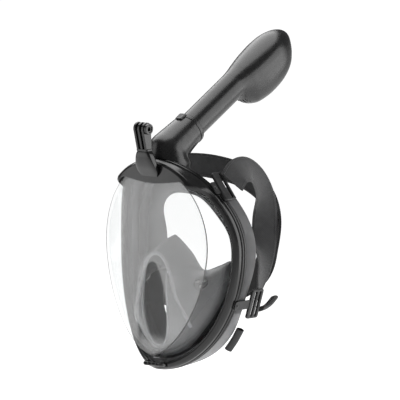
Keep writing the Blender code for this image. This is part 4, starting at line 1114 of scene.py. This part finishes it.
def make_valve_seats():
    """Round seats with three ports each, in the cheeks of the nose pocket."""
    for side in ("left", "right"):
        middle, axis = valve_seat(side)
        flat = axis.orthogonal().normalized()
        ports = [disc(2.9, 32, (4.5 * math.cos(a), 4.5 * math.sin(a))) for a in turns(3)]
        slab("inhale_seat_" + side, disc(8.8, 64), -1.4, 1.4, (flat, axis.cross(flat), axis), middle,
             DARK_SILICONE, ["inhale_valve_seat_" + side], holes=ports, edge=0.35)


def make_chin_cover():
    """The slotted guard of the drain at the lowest point of the frame."""
    y = FOREHEAD_Y
    cover = slab("chin_drain_cover", oval(30.0, 11.2, 4.2), -2.5, 2.5, LEVEL, (0, y + 5.0, -119.8), GLOSS,
                 ["chin_valve_cover"], edge=2.0)
    slots = [block((4.2, 8.0, 2.4), (-8.7 + 5.8 * k, y - 0.5, -119.2)) for k in range(4)]
    carve(cover, block((26.0, 11.0, 4.4), (0, y + 7.2, -118.4)), *slots)


def make_screws():
    """Hex socket screws that clamp the two frames."""
    profile = [(0.0, -0.35), (1.2, -0.38), (1.6, -0.55), (1.7, -0.8), (1.7, -1.3), (1.0, -1.3), (1.0, -11.6),
               (0.7, -12.0), (0.0, -12.0)]
    for label, at in screw_places():
        screw = turned("clamp_screw_" + label, profile, at, BACKWARD, [STEEL], ["frame_screw_" + label],
                       METAL, sides=40)
        carve(screw, column(at, BACKWARD, 0.85, -1.0, 1.0, 6))


# ---------------------------------------------------------------- the inner parts that keep their CAD shape

def repaint(material, *names):
    for name in names:
        for slot in frame["nodes"][name].material_slots:
            slot.material = material


# ---------------------------------------------------------------- setting

FLOOR_SEEN = 0.92            # how white the floor looks
FLOOR_GLOW = 0.4             # how much of that lights the mask from below
FLOOR_HALF, FLOOR_LEVEL = 60.0, -0.372
TARGET = Vector((0.045, -0.047, 0.071))
BACK = Vector((0.664, -0.738, 0.122)).normalized()
RIGHT = Vector((0, 0, 1)).cross(BACK).normalized()
UP = BACK.cross(RIGHT)
VIEW_DISTANCE = 20.0
VIEW_WIDTH = 0.4598          # what the picture spans at the target
ROOM_SEEN, ROOM_GLOW = 1.05, 0.14


def white_floor():
    paint = Paint("white_floor", (0.94, 0.94, 0.94), 0.9, Emission_Strength=FLOOR_SEEN)
    paint.shader.inputs["Emission Color"].default_value = (1, 1, 1, 1)
    seen = paint.node("ShaderNodeLightPath").outputs["Is Camera Ray"]
    paint.feed("Emission Strength", paint.math("MULTIPLY_ADD", seen, FLOOR_SEEN - FLOOR_GLOW, FLOOR_GLOW))
    cloud = paint.span(paint.noise(90.0, 4.0), 0.3, 0.7)
    paint.feed("Base Color", paint.blend(cloud, (0.93, 0.93, 0.93, 1.0), (0.95, 0.95, 0.95, 1.0)))
    paint.bumps((paint.noise(1.5, 3.0), 0.05, 0.1),)
    mesh = bpy.data.meshes.new("studio_floor")
    corners = [(x * FLOOR_HALF, y * FLOOR_HALF, FLOOR_LEVEL) for x, y in ((-1, -1), (1, -1), (1, 1), (-1, 1))]
    mesh.from_pydata(corners, [], [(0, 1, 2, 3)])
    mesh.materials.append(paint.material)
    floor = bpy.data.objects.new("studio_floor", mesh)
    COLLECTION.objects.link(floor)


def softbox(name, way, along, distance, length, width, radiance):
    """A rectangular light turned toward the mask: way points to it, along is the direction of its length."""
    way = Vector(way).normalized()
    side = Vector(along) - Vector(along).dot(way) * way
    side.normalize()
    light = bpy.data.lights.new(name, "AREA")
    light.shape = "RECTANGLE"
    light.size, light.size_y = length, width
    light.energy = radiance * math.pi * length * width
    stand(bpy.data.objects.new(name, light), (side, way.cross(side), way), distance)


def stand(obj, columns, distance):
    """Sets a light or camera at a distance from the mask, looking at it."""
    place = Matrix(columns).transposed().to_4x4()
    place.translation = TARGET + columns[2] * distance
    obj.matrix_world = place
    COLLECTION.objects.link(obj)


def make_world():
    """A white room behind the mask, and a dim one round it so that the soft lights shape its surfaces."""
    world = bpy.data.worlds.new("studio")
    world.use_nodes = True
    tree = world.node_tree
    tree.nodes.clear()
    out = tree.nodes.new("ShaderNodeOutputWorld")
    blend = tree.nodes.new("ShaderNodeMixShader")
    rays = tree.nodes.new("ShaderNodeLightPath")
    tree.links.new(rays.outputs["Is Camera Ray"], blend.inputs[0])
    for number, strength in ((1, ROOM_GLOW), (2, ROOM_SEEN)):
        room = tree.nodes.new("ShaderNodeBackground")
        room.inputs["Color"].default_value = (1, 1, 1, 1)
        room.inputs["Strength"].default_value = strength
        tree.links.new(room.outputs[0], blend.inputs[number])
    tree.links.new(blend.outputs[0], out.inputs["Surface"])
    bpy.context.scene.world = world


def make_camera():
    camera = bpy.data.cameras.new("photo_camera")
    camera.sensor_width = 36.0
    camera.lens = camera.sensor_width * VIEW_DISTANCE / VIEW_WIDTH
    camera.clip_end = 200.0
    viewer = bpy.data.objects.new("photo_camera", camera)
    stand(viewer, (RIGHT, UP, BACK), VIEW_DISTANCE)
    bpy.context.scene.camera = viewer


def build():
    make_lens()
    make_frames()
    make_skirt()
    make_nose_pocket()
    make_ducts()
    make_socket()
    make_button()
    make_tube()
    make_dry_top()
    make_camera_tongue()
    make_anchors()
    make_straps()
    make_valve_seats()
    make_chin_cover()
    make_screws()
    repaint(VALVE, "inhale_flap_left", "inhale_flap_right", "exhale_flap_left", "exhale_flap_right",
            "chin_valve_flap", "float_seal")
    repaint(DARK_SILICONE, "spigot_o_ring")
    repaint(FINE_MATT, "chin_valve_seat", "float_seat", "float_guide", "airflow_divider")
    repaint(STEEL, "button_spring")
    repaint(FLOAT, "float")
    white_floor()
    softbox("light_above_left", (-0.44, 0.16, 0.88), (1.0, -0.3, 0.5), 1.5, 2.4, 1.5, 3.2)
    softbox("light_right", (0.797, 0.588, 0.137), (0.2, -0.43, 0.75), 1.5, 1.7, 1.3, 2.6)
    softbox("light_front", (-0.6, -0.79, 0.05), (0.0, 0.0, 1.0), 1.7, 1.6, 1.6, 1.2)
    make_world()
    make_camera()
    bpy.context.scene.view_settings.view_transform = "Standard"


build()
